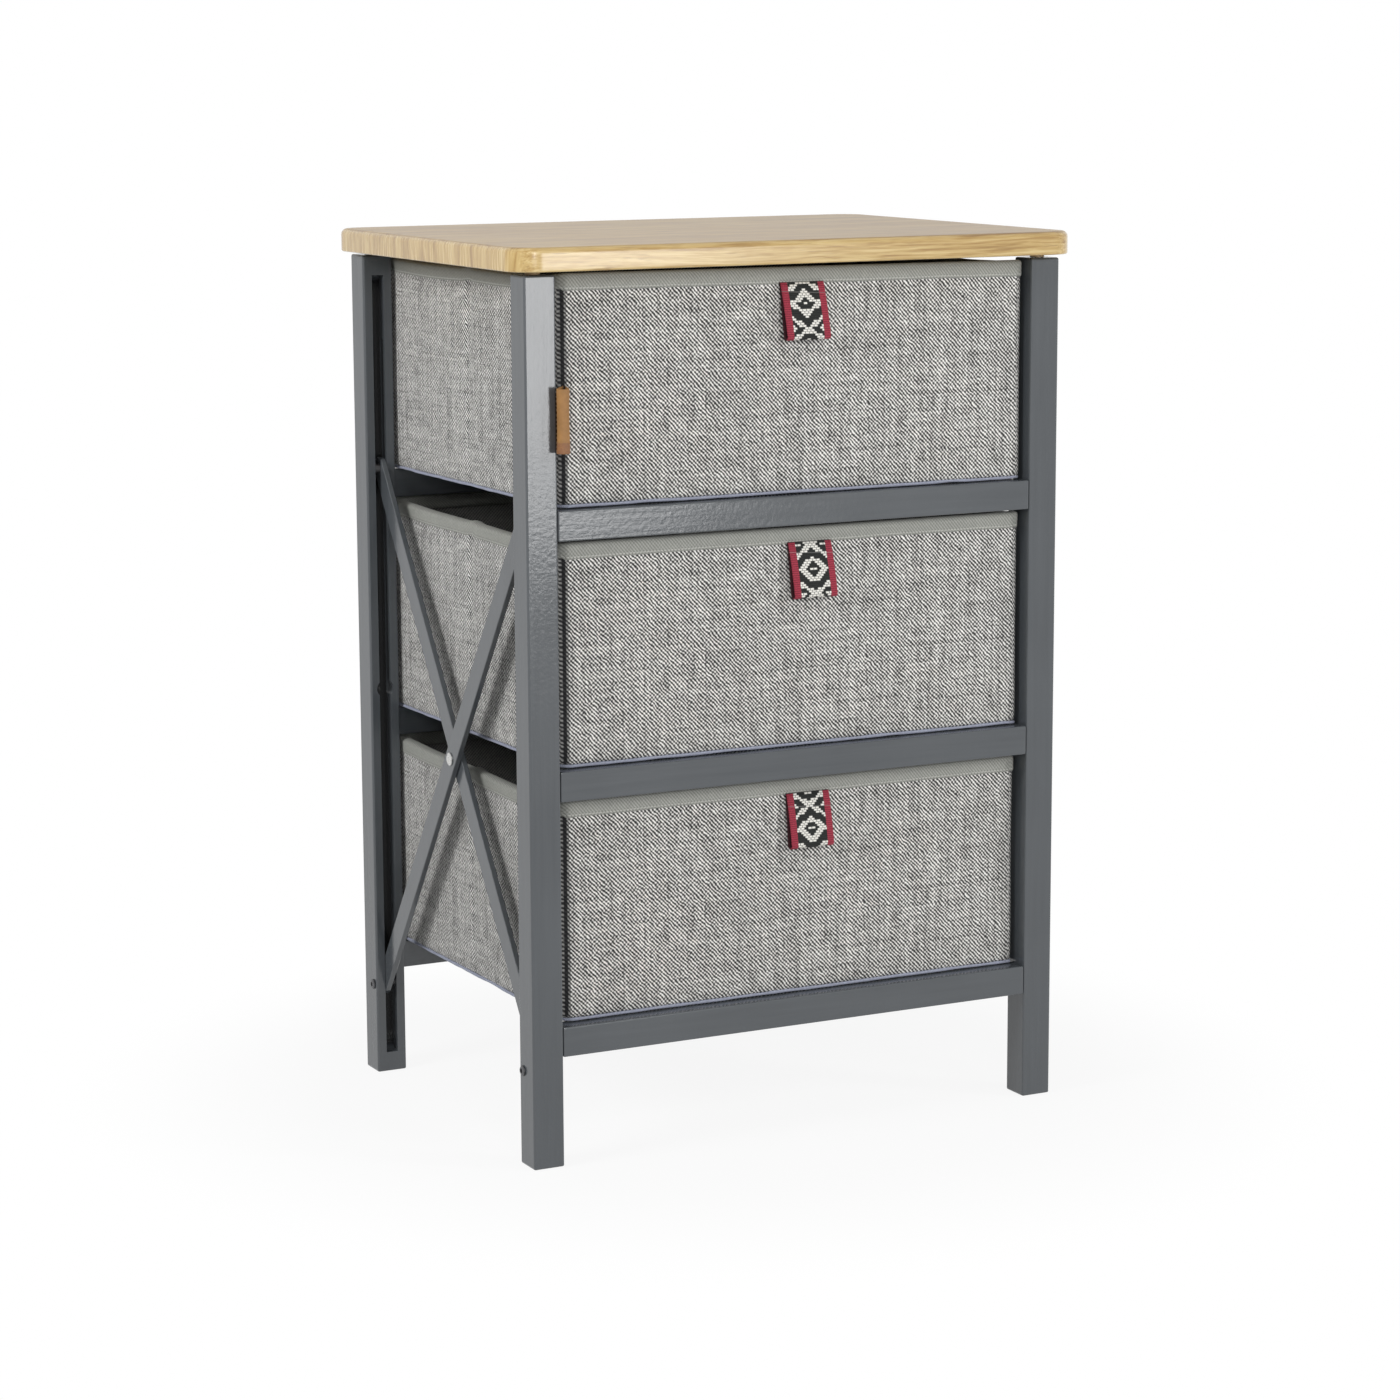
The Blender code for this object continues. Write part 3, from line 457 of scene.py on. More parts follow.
def patterned_webbing(name, first_diamond, seam):
    """Red-edged black band with stepped light diamonds and crosses, ribbed across, with painted
    shade between the ribs, at the ends of the light floats and on the back layer.

    The cloth's map is in metres from the band's middle and down from the tape. first_diamond and
    seam are how far below the tape the first diamond's middle and the row of sewing come."""
    s = Finish(name)
    u, v = s.parts(s.cloth_place())[:2]
    rib, dash, half_repeat = 1.9 * MM, 3.6 * MM, 21 * MM
    diamond_width, diamond_height, cross_x = 14.6 * MM, 11.3 * MM, 14.4 * MM
    ring_inside, ring_outside = 0.56, 1.08
    black_half, front_layer = 14.5 * MM, 49 * MM
    row = s.math("FLOOR", s.over(v, rib))
    shift = s.mul(s.math("FLOORED_MODULO", row, 2.0), 0.5)
    along_row = s.add(s.over(u, dash), shift)
    in_dash = s.size(s.sub(s.math("FRACT", along_row), 0.5))
    cell_u = s.mul(s.add(s.sub(s.math("FLOOR", along_row), shift), 0.5), dash)
    cell_v = s.mul(s.add(row, 0.5), rib)
    across = s.size(cell_u)
    along = s.math("PINGPONG", s.sub(cell_v, first_diamond), half_repeat)
    ring = s.add(s.over(across, diamond_width), s.over(along, diamond_height))
    diamond = s.mul(s.below(ring_inside, ring), s.below(ring, ring_outside))
    dot = s.mul(s.below(across, 2.2 * MM), s.below(along, 0.9 * MM))
    from_cross = s.sub(half_repeat, along)
    arm = s.size(s.sub(from_cross, s.mul(across, 0.64)))
    arms = s.mul(s.below(arm, 2.3 * MM), s.below(ring_outside, ring))
    blob = s.below(s.add(s.sub(cross_x, across), s.mul(from_cross, 1.5)), 4.3 * MM)
    light = s.math("MINIMUM", s.add(s.add(diamond, dot), s.add(arms, blob)), 1.0)
    rib_wave = s.sub(s.math("FRACT", s.over(v, rib)), 0.5)
    rib_height = s.sub(1.0, s.mul(s.square(rib_wave), 3.6))
    thread_height = s.sub(1.0, s.span(in_dash, 0.30, 0.48))
    edge = s.below(black_half, s.size(u))
    speck = s.noise(s.joined(u, v, 3.0), 900.0, 2.0, 0.6)
    black = s.ramp(speck, (0.3, (0.008, 0.009, 0.009)), (0.7, (0.024, 0.026, 0.024)))
    white = s.ramp(speck, (0.3, (0.66, 0.65, 0.60)), (0.7, (0.95, 0.93, 0.87)))
    red = s.ramp(speck, (0.3, (0.25, 0.024, 0.044)), (0.7, (0.40, 0.046, 0.075)))
    # The light floats fade towards their ends: painted shade where each dips under.
    inner = s.mix(s.mul(light, s.add(0.3, s.mul(thread_height, 0.7))), black, white)
    base = s.mix(edge, inner, red)
    # Painted shade between the ribs.
    base = s.mix(1.0, base, s.span(rib_height, 0.1, 0.9, 0.4, 1.0), "MULTIPLY")
    from_seam = s.size(s.sub(s.sub(v, seam), s.mul(u, 0.06)))
    sewn = s.sub(1.0, s.span(from_seam, 0.2 * MM, 0.5 * MM))
    dent = s.sub(1.0, s.span(from_seam, 0.3 * MM, 1.6 * MM))
    base = s.mix(s.mul(sewn, 0.3), base, (0.33, 0.32, 0.31))
    # Painted shadow on the back layer of the fold, below the front layer.
    back_layer_shade = s.span(v, front_layer, front_layer + 2 * MM)
    base = s.mix(s.mul(back_layer_shade, 0.9), base, (0.020, 0.010, 0.012))
    height = s.add(s.mul(rib_height, 0.6), s.mul(s.mul(light, thread_height), 0.5))
    s.set(Base_Color=base, Roughness=0.78, Specular_IOR_Level=0.3, Sheen_Weight=0.05,
          Normal=s.bump(s.sub(height, dent), 0.0004, 0.8))
    return s.material


def tan_leather():
    """Fine pebbled leather. A band near the lower end is burnished darker and left bare."""
    s = Finish("tan_leather")
    place = s.place()
    cell = s.node("ShaderNodeTexVoronoi", feature="DISTANCE_TO_EDGE")
    s.put(cell.inputs["Vector"], s.scaled(place, (900.0, 900.0, 900.0)))
    pebble = s.span(cell.outputs[0], 0.0, 0.16)
    cloud = s.noise(place, 130.0, 3.0, 0.6)
    base = s.ramp(cloud, (0.3, (0.24, 0.12, 0.038)), (0.7, (0.345, 0.178, 0.062)))
    z = s.parts(place)[2]
    band_height = 9.6 * MM
    band_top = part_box("upper_drawer_leather_tag")[0][2] + band_height
    burnt = s.sub(1.0, s.span(z, band_top - 0.4 * MM, band_top + 0.4 * MM))
    fleck = s.noise(place, 620.0, 2.0, 0.6)
    base = s.mix(s.mul(burnt, s.span(fleck, 0.35, 0.65, 0.45, 0.9)), base, (0.20, 0.085, 0.045))
    s.set(Base_Color=base, Roughness=s.span(cloud, 0.3, 0.7, 0.45, 0.6),
          Normal=s.bump(pebble, 0.00012, 0.4))
    return s.material


# Shapes


def soft_step(value, low, high):
    t = min(1.0, max(0.0, (value - low) / (high - low)))
    return t * t * (3 - 2 * t)


def near(value, width):
    """One at zero, fading to nothing a few widths away."""
    return math.exp(-((value / width) ** 2))


def table_value(table, share):
    """Reads ((share, value), ...) with soft steps between its rows."""
    for (a, first), (b, second) in zip(table, table[1:]):
        if share <= b:
            return first + (second - first) * soft_step(share, a, b)
    return table[-1][1]


def add_piece(name, verts, faces, material, body, replaced, uvs=None):
    """Makes a mesh piece. uvs holds one (u, v) for each corner of each face, in order."""
    mesh = bpy.data.meshes.new(name)
    mesh.from_pydata(verts, [], faces)
    if uvs is not None:
        layer = mesh.uv_layers.new(name=WEAVE_MAP)
        for spot, pair in zip(layer.data, uvs):
            spot.uv = pair
    mesh.materials.append(material)
    mesh.shade_smooth()
    piece = bpy.data.objects.new(name, mesh)
    bpy.context.collection.objects.link(piece)
    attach(piece, body)
    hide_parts(replaced)


def ring_mesh(rows, count, us, vs, around, closed=False):
    """Quads between closed rings of count points, with matching UVs."""
    faces, uvs = [], []
    for r in range(rows if closed else rows - 1):
        q = (r + 1) % rows
        for k in range(count):
            n = (k + 1) % count
            faces.append((r * count + k, r * count + n, q * count + n, q * count + k))
            u0, u1 = us[k], us[k + 1] if k + 1 < count else around
            uvs += [(u0, vs[r]), (u1, vs[r]), (u1, vs[r + 1]), (u0, vs[r + 1])]
    return faces, uvs


def strip_mesh(rows, count):
    """Both sides and all four edges of a thick strip of rows by count points.

    Returns faces, and for each corner its (row, column), so that UVs can be looked up."""
    faces, spots = [], []

    def face(corners):
        faces.append(tuple((side * rows + r) * count + k for side, r, k in corners))
        spots.extend((r, k) for side, r, k in corners)

    for side in (0, 1):
        for r in range(rows - 1):
            for k in range(count - 1):
                quad = [(side, r, k), (side, r + 1, k), (side, r + 1, k + 1), (side, r, k + 1)]
                face(quad[::-1] if side else quad)
    for k in (0, count - 1):
        for r in range(rows - 1):
            quad = [(0, r, k), (1, r, k), (1, r + 1, k), (0, r + 1, k)]
            face(quad[::-1] if k else quad)
    for r in (0, rows - 1):
        for k in range(count - 1):
            quad = [(0, r, k), (0, r, k + 1), (1, r, k + 1), (1, r, k)]
            face(quad[::-1] if r else quad)
    return faces, spots


def bent_normals(path):
    """Unit normals of a line of points in a plane."""
    out = []
    for i in range(len(path)):
        a, b = path[max(0, i - 1)], path[min(len(path) - 1, i + 1)]
        s, t = b[0] - a[0], b[1] - a[1]
        size = math.hypot(s, t)
        out.append((-t / size, s / size))
    return out


class Drawer:
    """What the soft pieces of one drawer share: its plan, rim line and small unevenness."""

    step = 6 * MM
    corner = 4.5 * MM
    rim_table = ((0.0, 0.0), (0.02, 0.2), (0.07, 0.7), (0.25, 1.1), (0.46, 1.0), (0.5, 0.55),
                 (0.54, 1.05), (0.75, 1.12), (0.93, 0.8), (0.985, 0.35), (1.0, 0.0))
    left_bulge, back_bulge, bulge_fade = 6.2 * MM, 1.0 * MM, 120 * MM
    floor_share = 0.92
    # How far the rim stands over the solid's at the front, left and right
    front_lifts = {"lower": (0.6 * MM, 0.4 * MM), "middle": (0.6 * MM, 0.4 * MM),
                   "upper": (3.6 * MM, 1.6 * MM)}

    def __init__(self, level):
        self.level = level
        low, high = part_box(f"{level}_drawer_cover")
        self.low = low
        self.width, self.depth = high[0] - low[0], high[1] - low[1]
        self.middle = ((low[0] + high[0]) / 2, (low[1] + high[1]) / 2)
        self.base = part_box(f"{level}_drawer_piping")[0][2]
        self.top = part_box(f"{level}_drawer_rim_tape")[1][2]
        self.seed = 7.0 + 13.0 * LEVELS.index(level)
        self.body = f"{level}_drawer"
        self.points, self.around = self.outline()
        self.us = [p[4] for p in self.points]
        self.count = len(self.points)

    def outline(self):
        """Points as (x, y, normal x, normal y, length along), anticlockwise from above."""
        w, d, radius = self.width / 2, self.depth / 2, self.corner
        corners = ((w, -d, -90), (w, d, 0), (-w, d, 90), (-w, -d, 180))
        points, along, last = [], 0.0, None
        for k, (cx, cy, start) in enumerate(corners):
            ox, oy = cx - math.copysign(radius, cx), cy - math.copysign(radius, cy)
            fresh = []
            for i in range(5):
                a = math.radians(start + 90 * i / 4)
                fresh.append((ox + radius * math.cos(a), oy + radius * math.sin(a),
                              math.cos(a), math.sin(a)))
            a = math.radians(start + 90)
            nx, ny, _ = corners[(k + 1) % 4]
            ex = nx - math.copysign(radius, nx) + radius * math.cos(a)
            ey = ny - math.copysign(radius, ny) + radius * math.sin(a)
            count = max(2, round(math.hypot(ex - fresh[-1][0], ey - fresh[-1][1]) / self.step))
            for i in range(1, count):
                t = i / count
                fresh.append((fresh[4][0] + (ex - fresh[4][0]) * t,
                              fresh[4][1] + (ey - fresh[4][1]) * t, math.cos(a), math.sin(a)))
            for p in fresh:
                if last is not None:
                    along += math.hypot(p[0] - last[0], p[1] - last[1])
                points.append((*p, along))
                last = p
        first = points[0]
        return points, along + math.hypot(first[0] - last[0], first[1] - last[1])

    def drop(self, x, y):
        """How far the rim's line lies under the solid's rim at a point of the plan."""
        share = (y + self.depth / 2) / self.depth
        left, right = self.front_lifts[self.level]
        front = left + (right - left) * (x / self.width + 0.5)
        lift = front + (2.2 * MM - front) * soft_step(share, 0.0, 1.0)
        return 3.2 * MM * table_value(self.rim_table, share) - lift

    def widen(self, x, y):
        """The left wall stands out past its sewn front corner, and a little more at the back."""
        if x > 0:
            return 0.0
        half = 0.5 * self.depth
        return (self.left_bulge * soft_step(y, 0.4 * MM - half, 9 * MM - half)
                + self.back_bulge * soft_step(y, -50 * MM, half))

    def ripple(self, along, height, scale=1.0):
        """Small unevenness of the cloth, out of its plane."""
        a = 2 * math.pi * along / self.around
        reach = 9 * self.around / (2 * math.pi)
        spot = Vector((math.cos(a) * reach, math.sin(a) * reach, height * 9 + self.seed))
        return noise.noise(spot) * scale

    def spot(self, point, push, z, share=1.0):
        """A point of the plan pushed out from it. share is how much of the widening it takes."""
        x, y, nx, ny, _ = point
        wider = self.widen(x, y) * share
        if abs(nx) <= abs(ny):
            wider *= max(0.0, 1 - (x + self.width / 2) / self.bulge_fade)
        px, py, tight = x + nx * push, y + ny * push, 0.3 * MM
        if push < tight - self.corner:
            far_x = self.width / 2 + push - tight * (1 - abs(nx))
            far_y = self.depth / 2 + push - tight * (1 - abs(ny))
            px, py = max(-far_x, min(far_x, px)), max(-far_y, min(far_y, py))
        return (self.middle[0] + px - wider, self.middle[1] + py, z)

    def drawn_in(self, z):
        """A ring within a floor, a little smaller than the plan."""
        share = self.floor_share
        return [(self.middle[0] + share * p[0], self.middle[1] + share * p[1], z)
                for p in self.points]

    def seam_share(self, point):
        """One at the point of each rounded corner where front or back is sewn to a side."""
        return 1.0 if 0.9 < abs(point[2]) < 0.95 and abs(point[3]) > 0.3 else 0.0


def drawer_cover(d, material):
    """The sewn cover: walls that dish a little, soft lower edge with gathers, flat floor."""
    bottom, wall_top = d.base + 3.3 * MM, d.top - 1.5 * MM
    shares = (0.0, 0.004, 0.012, 0.03, 0.06, 0.1, 0.15, 0.21, 0.28, 0.36, 0.44, 0.52, 0.6, 0.68,
              0.75, 0.81, 0.87, 0.92, 0.96, 1.0)
    seam_inset, floor_z = 2.8 * MM, d.base + 0.8 * MM
    verts, vs = d.drawn_in(floor_z), [-14 * MM]
    for z, inset in ((floor_z, 3.4 * MM), (d.base + 1.2 * MM, seam_inset), (bottom, seam_inset)):
        verts += [d.spot(p, -inset, z) for p in d.points]
        vs.append(vs[-1] + 3.6 * MM)
    for share in shares:
        for p in d.points:
            x, y, nx, ny, along = p
            z = bottom + (wall_top - bottom - d.drop(x, y)) * share
            bulge = math.sin(math.pi * share) ** 0.8
            push = d.ripple(along, z, 0.75 * MM) * bulge
            if ny < -0.5:
                gather = math.exp(-share / 0.035)
                push += d.ripple(along * 9, 0.3, 1.1 * MM) * gather - 0.5 * MM * gather
                push -= 0.25 * MM * bulge
            elif abs(nx) > 0.5:
                push = push + 0.5 * MM * bulge if nx < 0 else min(push, 0.4 * MM)
                push -= 1.6 * MM * near(y, 5 * MM) * (0.35 + 0.65 * share)
            push -= 0.9 * MM * max(0.0, 1 - share / 0.03) ** 2
            push -= 1.4 * MM * d.seam_share(p)
            verts.append(d.spot(p, push, z))
        vs.append((wall_top - bottom) * share)
    faces, uvs = ring_mesh(4 + len(shares), d.count, d.us, vs, d.around)
    floor = range(d.count - 1, -1, -1)
    faces.append(tuple(floor))
    uvs += [verts[k][:2] for k in floor]
    add_piece(f"{d.level}_cover_cloth", verts, faces, material, d.body,
              f"{d.level}_drawer_cover", uvs)


def drawer_lining(d, material):
    """The lining: walls from the rim tape down and a floor, seen from inside."""
    inset, foot_inset = 4.4 * MM, 2.5 * MM
    floor_z, wall_top = d.base + 5.6 * MM, d.top - 5.5 * MM
    shares = (1.0, 0.93, 0.8, 0.6, 0.4, 0.2, 0.08, 0.02, 0.0)
    verts, vs = [], []
    for share in shares:
        for p in d.points:
            z = floor_z + (wall_top - floor_z - d.drop(p[0], p[1])) * share
            push = abs(d.ripple(p[4] + 0.4, z + 0.2, 0.5 * MM)) * math.sin(math.pi * share)
            foot = foot_inset * max(0.0, 1 - share / 0.03)
            verts.append(d.spot(p, -inset - push - foot, z, 0))
        vs.append((wall_top - floor_z) * share)
    verts += d.drawn_in(floor_z)
    vs.append(-10 * MM)
    faces, uvs = ring_mesh(len(vs), d.count, d.us, vs, d.around)
    floor = range((len(vs) - 1) * d.count, len(vs) * d.count)
    faces.append(tuple(floor))
    uvs += [verts[k][:2] for k in floor]
    add_piece(f"{d.level}_lining_cloth", verts, faces, material, d.body,
              f"{d.level}_drawer_lining", uvs)


def drawer_rim(d, material):
    """The binding tape, folded over the rim, with a soft crown and a slightly wavy edge."""
    outer, inner, most_proud = 0.9 * MM, 6.1 * MM, 1.05 * MM
    crown = (outer + inner) / 2
    # Each row is its offset inwards, its place under the rim in millimetres, and if it is outside
    section = [(0.55 * MM - outer, -12.6, True)]
    section += [(-outer, down, True) for down in (-12.2, -9.0, -5.0, -2.6)]
    for i in range(1, 8):
        a = math.pi * i / 8
        section.append(((inner - outer) / 2 - crown * math.cos(a), 2.6 * (math.sin(a) - 1), True))
    section += [(inner, down, False) for down in (-2.6, -7.0, -12.0)]
    section.append((inner - 0.7 * MM, -12.4, False))
    verts, vs, last = [], [], None
    for offset, down, outside in section:
        low = min(1.0, max(0.0, (-down - 4.0) / 8.0))
        share = 1.0 - 0.55 * max(0.0, offset + outer) / (inner + outer)
        if not outside and down < -3.0:
            share = 0.0
        for p in d.points:
            x, y, nx, ny, along = p
            wave = d.ripple(along * 2.2, 0.7 if outside else 1.4, 0.5 * MM)
            z = d.top + down * MM - d.drop(x, y) + wave * low * (1.4 if outside else 0.6)
            if ny < -0.5 and outside:
                z -= 1.5 * MM * low
            push = -offset + d.ripple(along * 1.4, 3.3, 0.5 * MM) * (0.3 + low) * 0.8
            if outside and abs(nx) > 0.5:
                push -= 1.2 * MM * near(y, 4.5 * MM)
            verts.append(d.spot(p, min(push, most_proud), z, share))
        gap = math.hypot(offset - last[0], (down - last[1]) * MM) if last else 0.0
        vs.append(gap + (vs[-1] if vs else 0.0))
        last = (offset, down)
    faces, uvs = ring_mesh(len(section), d.count, d.us, vs, d.around)
    add_piece(f"{d.level}_rim_binding", verts, faces, material, d.body,
              f"{d.level}_drawer_rim_tape", uvs)


def drawer_piping(d, material):
    """Round piping round the bottom seam, a little wavy and puckered."""
    radius, sides = 1.4 * MM, 8
    verts, vs = [], []
    for j in range(sides):
        a = 2 * math.pi * j / sides
        for p in d.points:
            along = p[4]
            fat = radius * (1.0 + d.ripple(along * 7, 0.9, 0.28))
            drift = min(d.ripple(along * 3, 1.9, 0.9 * MM), 0.5 * MM)
            z = d.base + 1.65 * MM + max(0.0, d.ripple(along * 2.3, 2.9, 0.9 * MM))
            verts.append(d.spot(p, drift - 1.1 * MM + fat * math.cos(a), z + fat * math.sin(a)))
        vs.append(2 * math.pi * radius * j / sides)
    vs.append(2 * math.pi * radius)
    faces, uvs = ring_mesh(sides, d.count, d.us, vs, d.around, True)
    add_piece(f"{d.level}_seam_piping", verts, faces, material, d.body,
              f"{d.level}_drawer_piping", uvs)


def pull_loop(d, material, lean, half_width):
    """Webbing folded double and sewn in under the tape, thick enough to show its cut edge."""
    low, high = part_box(f"{d.level}_drawer_pull_loop")
    middle, wall = (low[0] + high[0]) / 2, high[1]
    top = d.top - 12.8 * MM - d.drop(middle - d.middle[0], -d.depth / 2)
    length = high[2] - low[2] - 0.8 * MM
    fold, root, thick, steps = 3.3 * MM, 0.9 * MM, 0.6 * MM, 9
    path = []
    for i in range(steps + 1):
        t = i / steps
        path.append((-root - 0.3 * MM * math.sin(math.pi * t), (length - fold) * t))
    for i in range(1, 9):
        a = math.pi * i / 8
        path.append((-root - fold * (1 - math.cos(a)), length - fold + fold * math.sin(a)))
    for i in range(1, steps + 1):
        t = i / steps
        out = root + 2 * fold * (1 - t) ** 0.85 + 1.4 * MM * t + 0.5 * MM * math.sin(math.pi * t)
        path.append((-out, (length - fold) * (1 - t)))
    run = [0.0]
    for a, b in zip(path, path[1:]):
        run.append(run[-1] + math.hypot(b[0] - a[0], b[1] - a[1]))
    columns = (-1.0, -0.97, -0.7, -0.35, 0.0, 0.35, 0.7, 0.97, 1.0)
    normals = bent_normals(path)
    verts = []
    for side in (1, -1):
        for i, (out, down) in enumerate(path):
            for c in columns:
                edge = side * thick * (0.55 if abs(c) == 1.0 else 1.0)
                bow = 0.3 * MM * c * c * down / length if i > len(path) / 2 else 0.0
                verts.append((middle + c * half_width + lean * down,
                              wall + out + normals[i][0] * edge - bow,
                              top - down - normals[i][1] * edge))
    faces, spots = strip_mesh(len(path), len(columns))
    uvs = [(columns[k] * half_width, run[-1] - run[r]) for r, k in spots]
    add_piece(f"{d.level}_webbing_pull", verts, faces, material, d.body,
              f"{d.level}_drawer_pull_loop", uvs)


def leather_tag(material):
    """A leather strip folded round and sewn in by both ends, softly dished and thick-edged."""
    low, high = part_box("upper_drawer_leather_tag")
    height = high[2] - low[2]
    d = Drawer("upper")
    turn, root_left, root_ahead = math.radians(-28), 1.6 * MM, 4.9 * MM
    ahead = Vector((math.sin(turn), -math.cos(turn)))
    across = Vector((math.cos(turn), math.sin(turn)))
    corner = Vector((d.low[0] + d.corner - root_left, d.low[1] + d.corner))
    root = corner + ahead * root_ahead
    fold, pinch, reach, thick = 4.8 * MM, 1.0 * MM, 20.2 * MM, 0.65 * MM
    path = []
    for i in range(7):
        path.append((-pinch - (fold - pinch) * soft_step(i / 6, 0, 1), reach * i / 6))
    for i in range(1, 12):
        a = math.pi * i / 12
        path.append((-fold * math.cos(a), reach + fold * math.sin(a)))
    for i in range(6, -1, -1):
        path.append((pinch + (fold - pinch) * soft_step(i / 6, 0, 1), reach * i / 6))
    levels = (0.0, 0.01, 0.03, 0.08, 0.2, 0.35, 0.5, 0.65, 0.8, 0.92, 0.97, 0.99, 1.0)
    normals = bent_normals(path)
    verts = []
    for side in (1, -1):
        for share in levels:
            rim = min(share, 1 - share)
            edge = side * thick * (0.5 if rim == 0 else 0.85 if rim < 0.02 else 1.0)
            squeeze = 1.05 - 0.10 * math.sin(math.pi * share) - 0.05 * share
            dip = 0.5 * MM * (-1 if share > 0.5 else 0.6) if rim < 0.1 else 0.0
            for i, (s, t) in enumerate(path):
                p = root + across * (s * squeeze + normals[i][0] * edge)
                p += ahead * (t + normals[i][1] * edge)
                wave = 0.14 * MM * math.sin(9 * share + t * 120) * t / reach
                verts.append((p.x, p.y + wave, low[2] + height * share + dip * t / reach))
    faces, _ = strip_mesh(len(levels), len(path))
    add_piece("upper_leather_tag", verts, faces, material, "upper_drawer",
              "upper_drawer_leather_tag")


def table_top(material):
    """The top with its edges rounded finely. Same size as the solid it stands for."""
    low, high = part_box("table_top")
    thick, corner, upper, lower = high[2] - low[2], 25 * MM, 5 * MM, 1.6 * MM
    half_x, half_y = (high[0] - low[0]) / 2, (high[1] - low[1]) / 2
    cx, cy = (low[0] + high[0]) / 2, (low[1] + high[1]) / 2
    rings = [(12 * MM, 0.0)]
    for i in range(5):
        a = math.pi / 2 * i / 4
        rings.append((lower * (1 - math.sin(a)), lower * (1 - math.cos(a))))
    rings += [(0.0, 5 * MM), (0.0, 10 * MM)]
    for i in range(9):
        a = math.pi / 2 * i / 8
        rings.append((upper * (1 - math.cos(a)), thick - upper * (1 - math.sin(a))))
    rings += [(7 * MM, thick), (30 * MM, thick)]
    steps = 16
    verts = []
    for inset, z in rings:
        r = max(corner - inset, 1 * MM)
        for k, (sx, sy) in enumerate(((1, 1), (-1, 1), (-1, -1), (1, -1))):
            for i in range(steps + 1):
                a = math.pi / 2 * (k + i / steps)
                verts.append((cx + sx * (half_x - inset - r) + r * math.cos(a),
                              cy + sy * (half_y - inset - r) + r * math.sin(a), low[2] + z))
    count = 4 * (steps + 1)
    faces, _ = ring_mesh(len(rings), count, [0.0] * count, [0.0] * (len(rings) + 1), 0.0)
    faces.append(tuple(range(count - 1, -1, -1)))
    faces.append(tuple(range((len(rings) - 1) * count, len(rings) * count)))
    add_piece("oak_table_top", verts, faces, material, "table_top",
              "table_top")


def dress_solids():
    """Finishes for the solids that stay."""
    along = 7.0
    across = 160.0
    bright = turned_steel("bright_steel", (0.50, 0.50, 0.49), (0.70, 0.70, 0.68), 0.24, 0.4)
    dull = turned_steel("dull_steel", (0.10, 0.10, 0.105), (0.17, 0.17, 0.175), 0.38, 0.5)
    finishes = {
        "_post": slate_paint("slate_post", (across, across, along), True),
        "_rail": slate_paint("slate_rail", (along, across, across)),
        "_link": slate_paint("slate_link", (60.0, 60.0, 30.0)),
        "_bolt": dull, "_slider": dull, "_rivet": bright, "_board": fibre_board()}
    dowel = bare_beech()
    for name, solid in nodes.items():
        ending = name[name.rfind("_"):]
        finish = dowel if name.startswith("top_dowel") else finishes.get(ending)
        if finish is not None:
            solid.data.materials.clear()
            solid.data.materials.append(finish)


# The studio


def camera():
    """At the photograph's viewing angle, fitted to points of the posts, rails and top."""
    yaw, pitch, roll = (math.radians(v) for v in (27.042, 9.995, -0.244))
    ahead = Vector((math.sin(yaw) * math.cos(pitch), math.cos(yaw) * math.cos(pitch),
                    -math.sin(pitch)))
    level = Vector((math.cos(yaw), -math.sin(yaw), 0))
    above = level.cross(ahead)
    right = math.cos(roll) * level + math.sin(roll) * above
    up = math.cos(roll) * above - math.sin(roll) * level
    data = bpy.data.cameras.new("studio_camera")
    data.sensor_fit = "HORIZONTAL"
    data.sensor_width = 36.0
    focal_pixels, frame_pixels = 3730.99, 1400
    data.lens = data.sensor_width * focal_pixels / frame_pixels
    data.clip_start, data.clip_end = 0.05, 60.0
    made = bpy.data.objects.new("studio_camera", data)
    turn = Matrix((right, up, -ahead)).transposed().to_4x4()
    stand = (-1.50428, -2.94408, 0.93489)
    made.matrix_world = Matrix.Translation(stand) @ turn
    bpy.context.collection.objects.link(made)
    bpy.context.scene.camera = made


def panel(name, at, target, width, height, power, glints=True):
    """A soft rectangular lamp. glints says if glossy surfaces mirror it."""
    data = bpy.data.lights.new(name, "AREA")
    data.shape = "RECTANGLE"
    data.size, data.size_y = width, height
    data.energy = power
    made = bpy.data.objects.new(name, data)
    made.visible_glossy = glints
    made.location = at
    made.rotation_euler = (Vector(target) - Vector(at)).to_track_quat("-Z", "Y").to_euler()
    bpy.context.collection.objects.link(made)


def white_room():
    """Dim for the light it gives, white where the camera or a reflection sees it."""
    world = bpy.data.worlds.new("white_room")
    bpy.context.scene.world = world
    world.use_nodes = True
    w = Net(world.node_tree)
    w.tree.nodes.clear()
    path = w.node("ShaderNodeLightPath").outputs
    seen = w.math("MAXIMUM", path["Is Camera Ray"], path["Is Glossy Ray"])
    seen = w.math("MAXIMUM", seen, path["Is Transmission Ray"])
    shades = []
    for colour, strength in (((0.98, 0.99, 1.0), 0.25), ((1.0, 1.0, 1.0), 1.0)):
        made = w.node("ShaderNodeBackground")
        w.put(made.inputs["Color"], colour)
        w.put(made.inputs["Strength"], strength)
        shades.append(made.outputs[0])
    blend = w.node("ShaderNodeMixShader")
    for socket, value in zip(blend.inputs, (seen, *shades)):
        w.put(socket, value)
    w.put(w.node("ShaderNodeOutputWorld").inputs[0], blend.outputs[0])


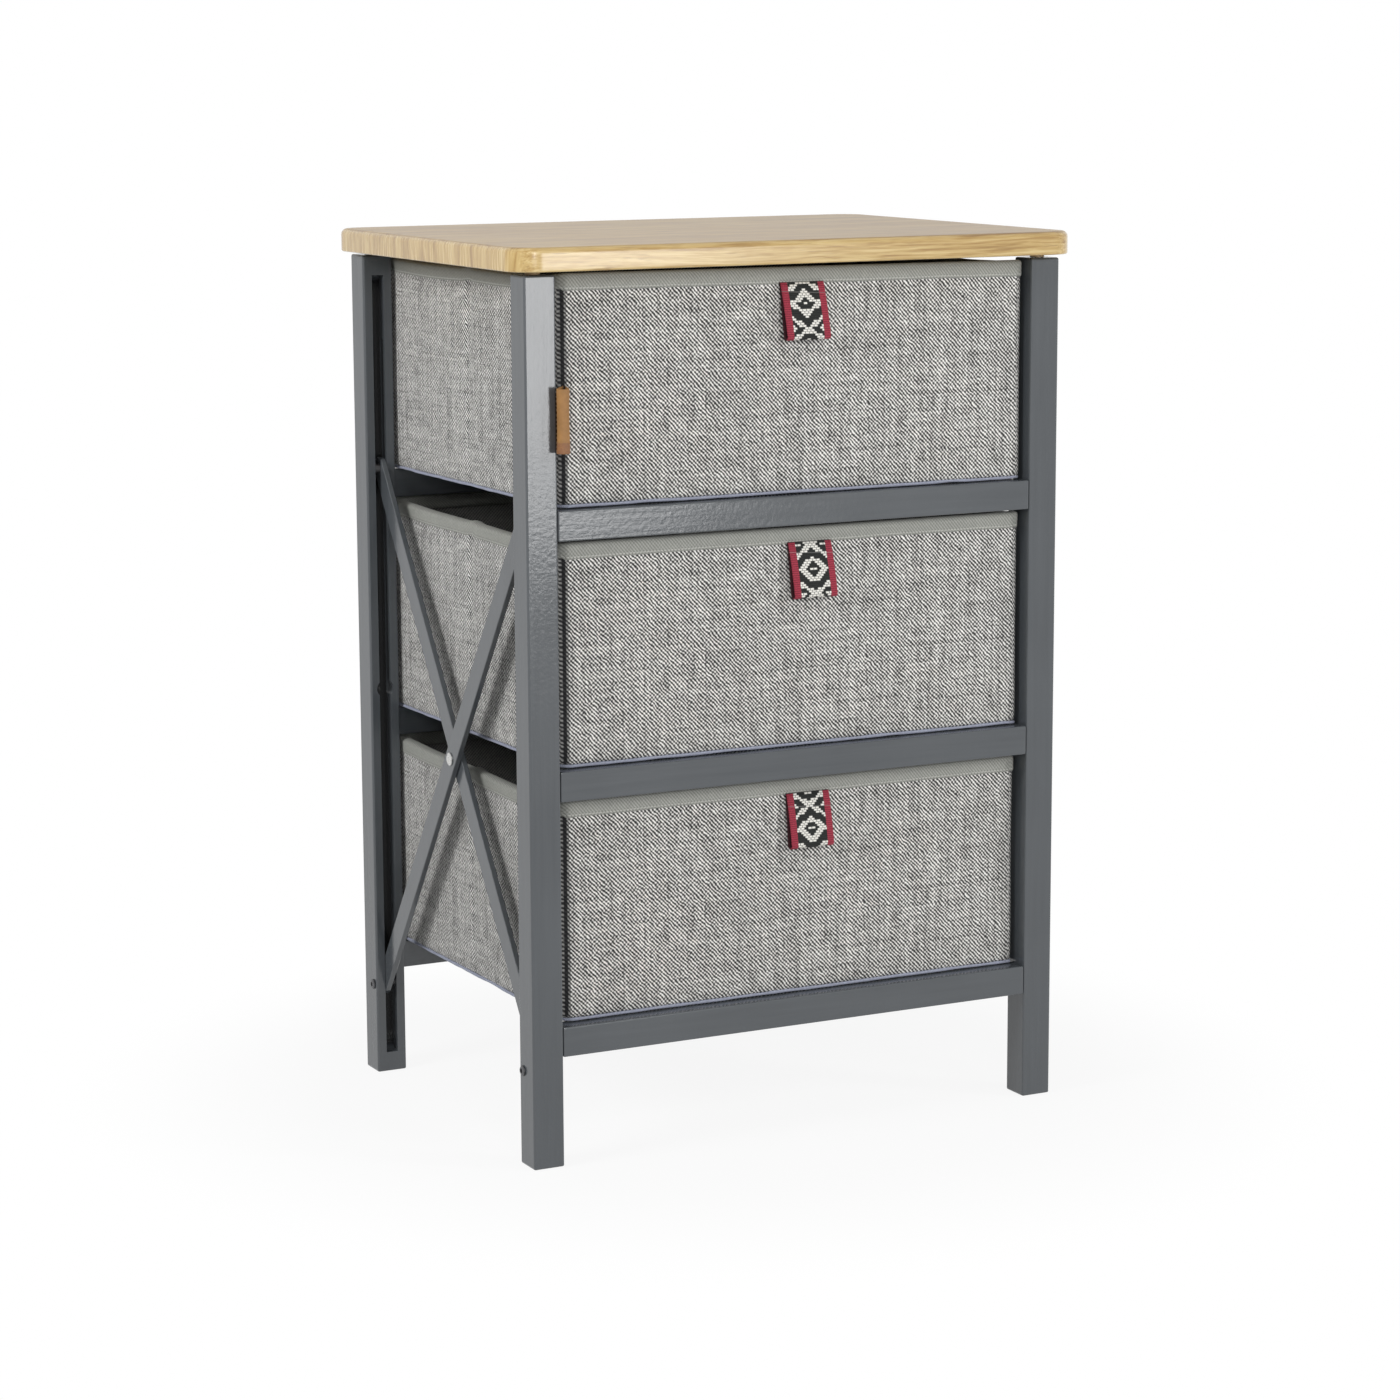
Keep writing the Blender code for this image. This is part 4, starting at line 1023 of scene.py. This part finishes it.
def floor():
    """Pale floor that takes the object's shadow near it and fades to white further off."""
    s = Finish("white_floor")
    s.set(Base_Color=(0.74, 0.74, 0.74), Roughness=0.9)
    path = s.node("ShaderNodeLightPath").outputs
    seen = s.math("MAXIMUM", path["Is Camera Ray"], path["Is Glossy Ray"])
    x, y, _ = s.parts(s.place())
    far = s.math("SQRT", s.add(s.square(x), s.square(y)))
    glow = s.node("ShaderNodeEmission")
    veil = s.node("ShaderNodeMixShader")
    s.put(veil.inputs[0], s.mul(seen, s.span(far, 0.3, 0.6, 0.9, 1.0)))
    s.put(veil.inputs[1], s.bsdf.outputs[0])
    s.put(veil.inputs[2], glow.outputs[0])
    s.put(s.tree.nodes["Material Output"].inputs[0], veil.outputs[0])
    half = 12.0
    mesh = bpy.data.meshes.new("studio_floor")
    mesh.from_pydata([(-half, -half, 0), (half, -half, 0), (half, half, 0), (-half, half, 0)], [],
                     [(0, 1, 2, 3)])
    mesh.materials.append(s.material)
    made = bpy.data.objects.new("studio_floor", mesh)
    made.location = (0, 0, -0.5 * MM)
    bpy.context.collection.objects.link(made)


def lights():
    panel("strip_panel", (0.77, -2.6, 0.70), (0.77, -0.1, 0.70), 0.66, 1.02, 15.8)
    panel("key_panel", (3.2, -3.1, 2.2), (0.0, -0.1, 0.65), 0.6, 0.9, 71.0, False)
    panel("fill_panel", (-0.75, -2.6, 1.4), (0.0, -0.1, 0.75), 0.5, 1.5, 17.5)
    panel("left_panel", (-1.9, -0.35, 1.45), (0.0, 0.0, 0.7), 0.7, 0.7, 26.0, False)


camera()
white_room()
floor()
lights()
dress_solids()
cloth, tape, lining, piping = drawer_cloth(), rim_tape(), dark_lining(), grey_piping()
pull_half_width = 20.7 * MM
# Per drawer: first diamond and row of sewing below the tape, and the loop's lean
pulls = {"upper": (18.5 * MM, 8.8 * MM, 0.10),
         "middle": (24.0 * MM, 9.8 * MM, 0.09),
         "lower": (32.2 * MM, 12.4 * MM, 0.06)}
for level in LEVELS:
    drawer = Drawer(level)
    drawer_cover(drawer, cloth)
    drawer_lining(drawer, lining)
    drawer_rim(drawer, tape)
    drawer_piping(drawer, piping)
    diamond, seam, lean = pulls[level]
    webbing = patterned_webbing(f"{level}_webbing", diamond, seam)
    pull_loop(drawer, webbing, lean, pull_half_width)
leather_tag(tan_leather())
table_top(light_oak())

bpy.context.scene.view_settings.view_transform = "Standard"
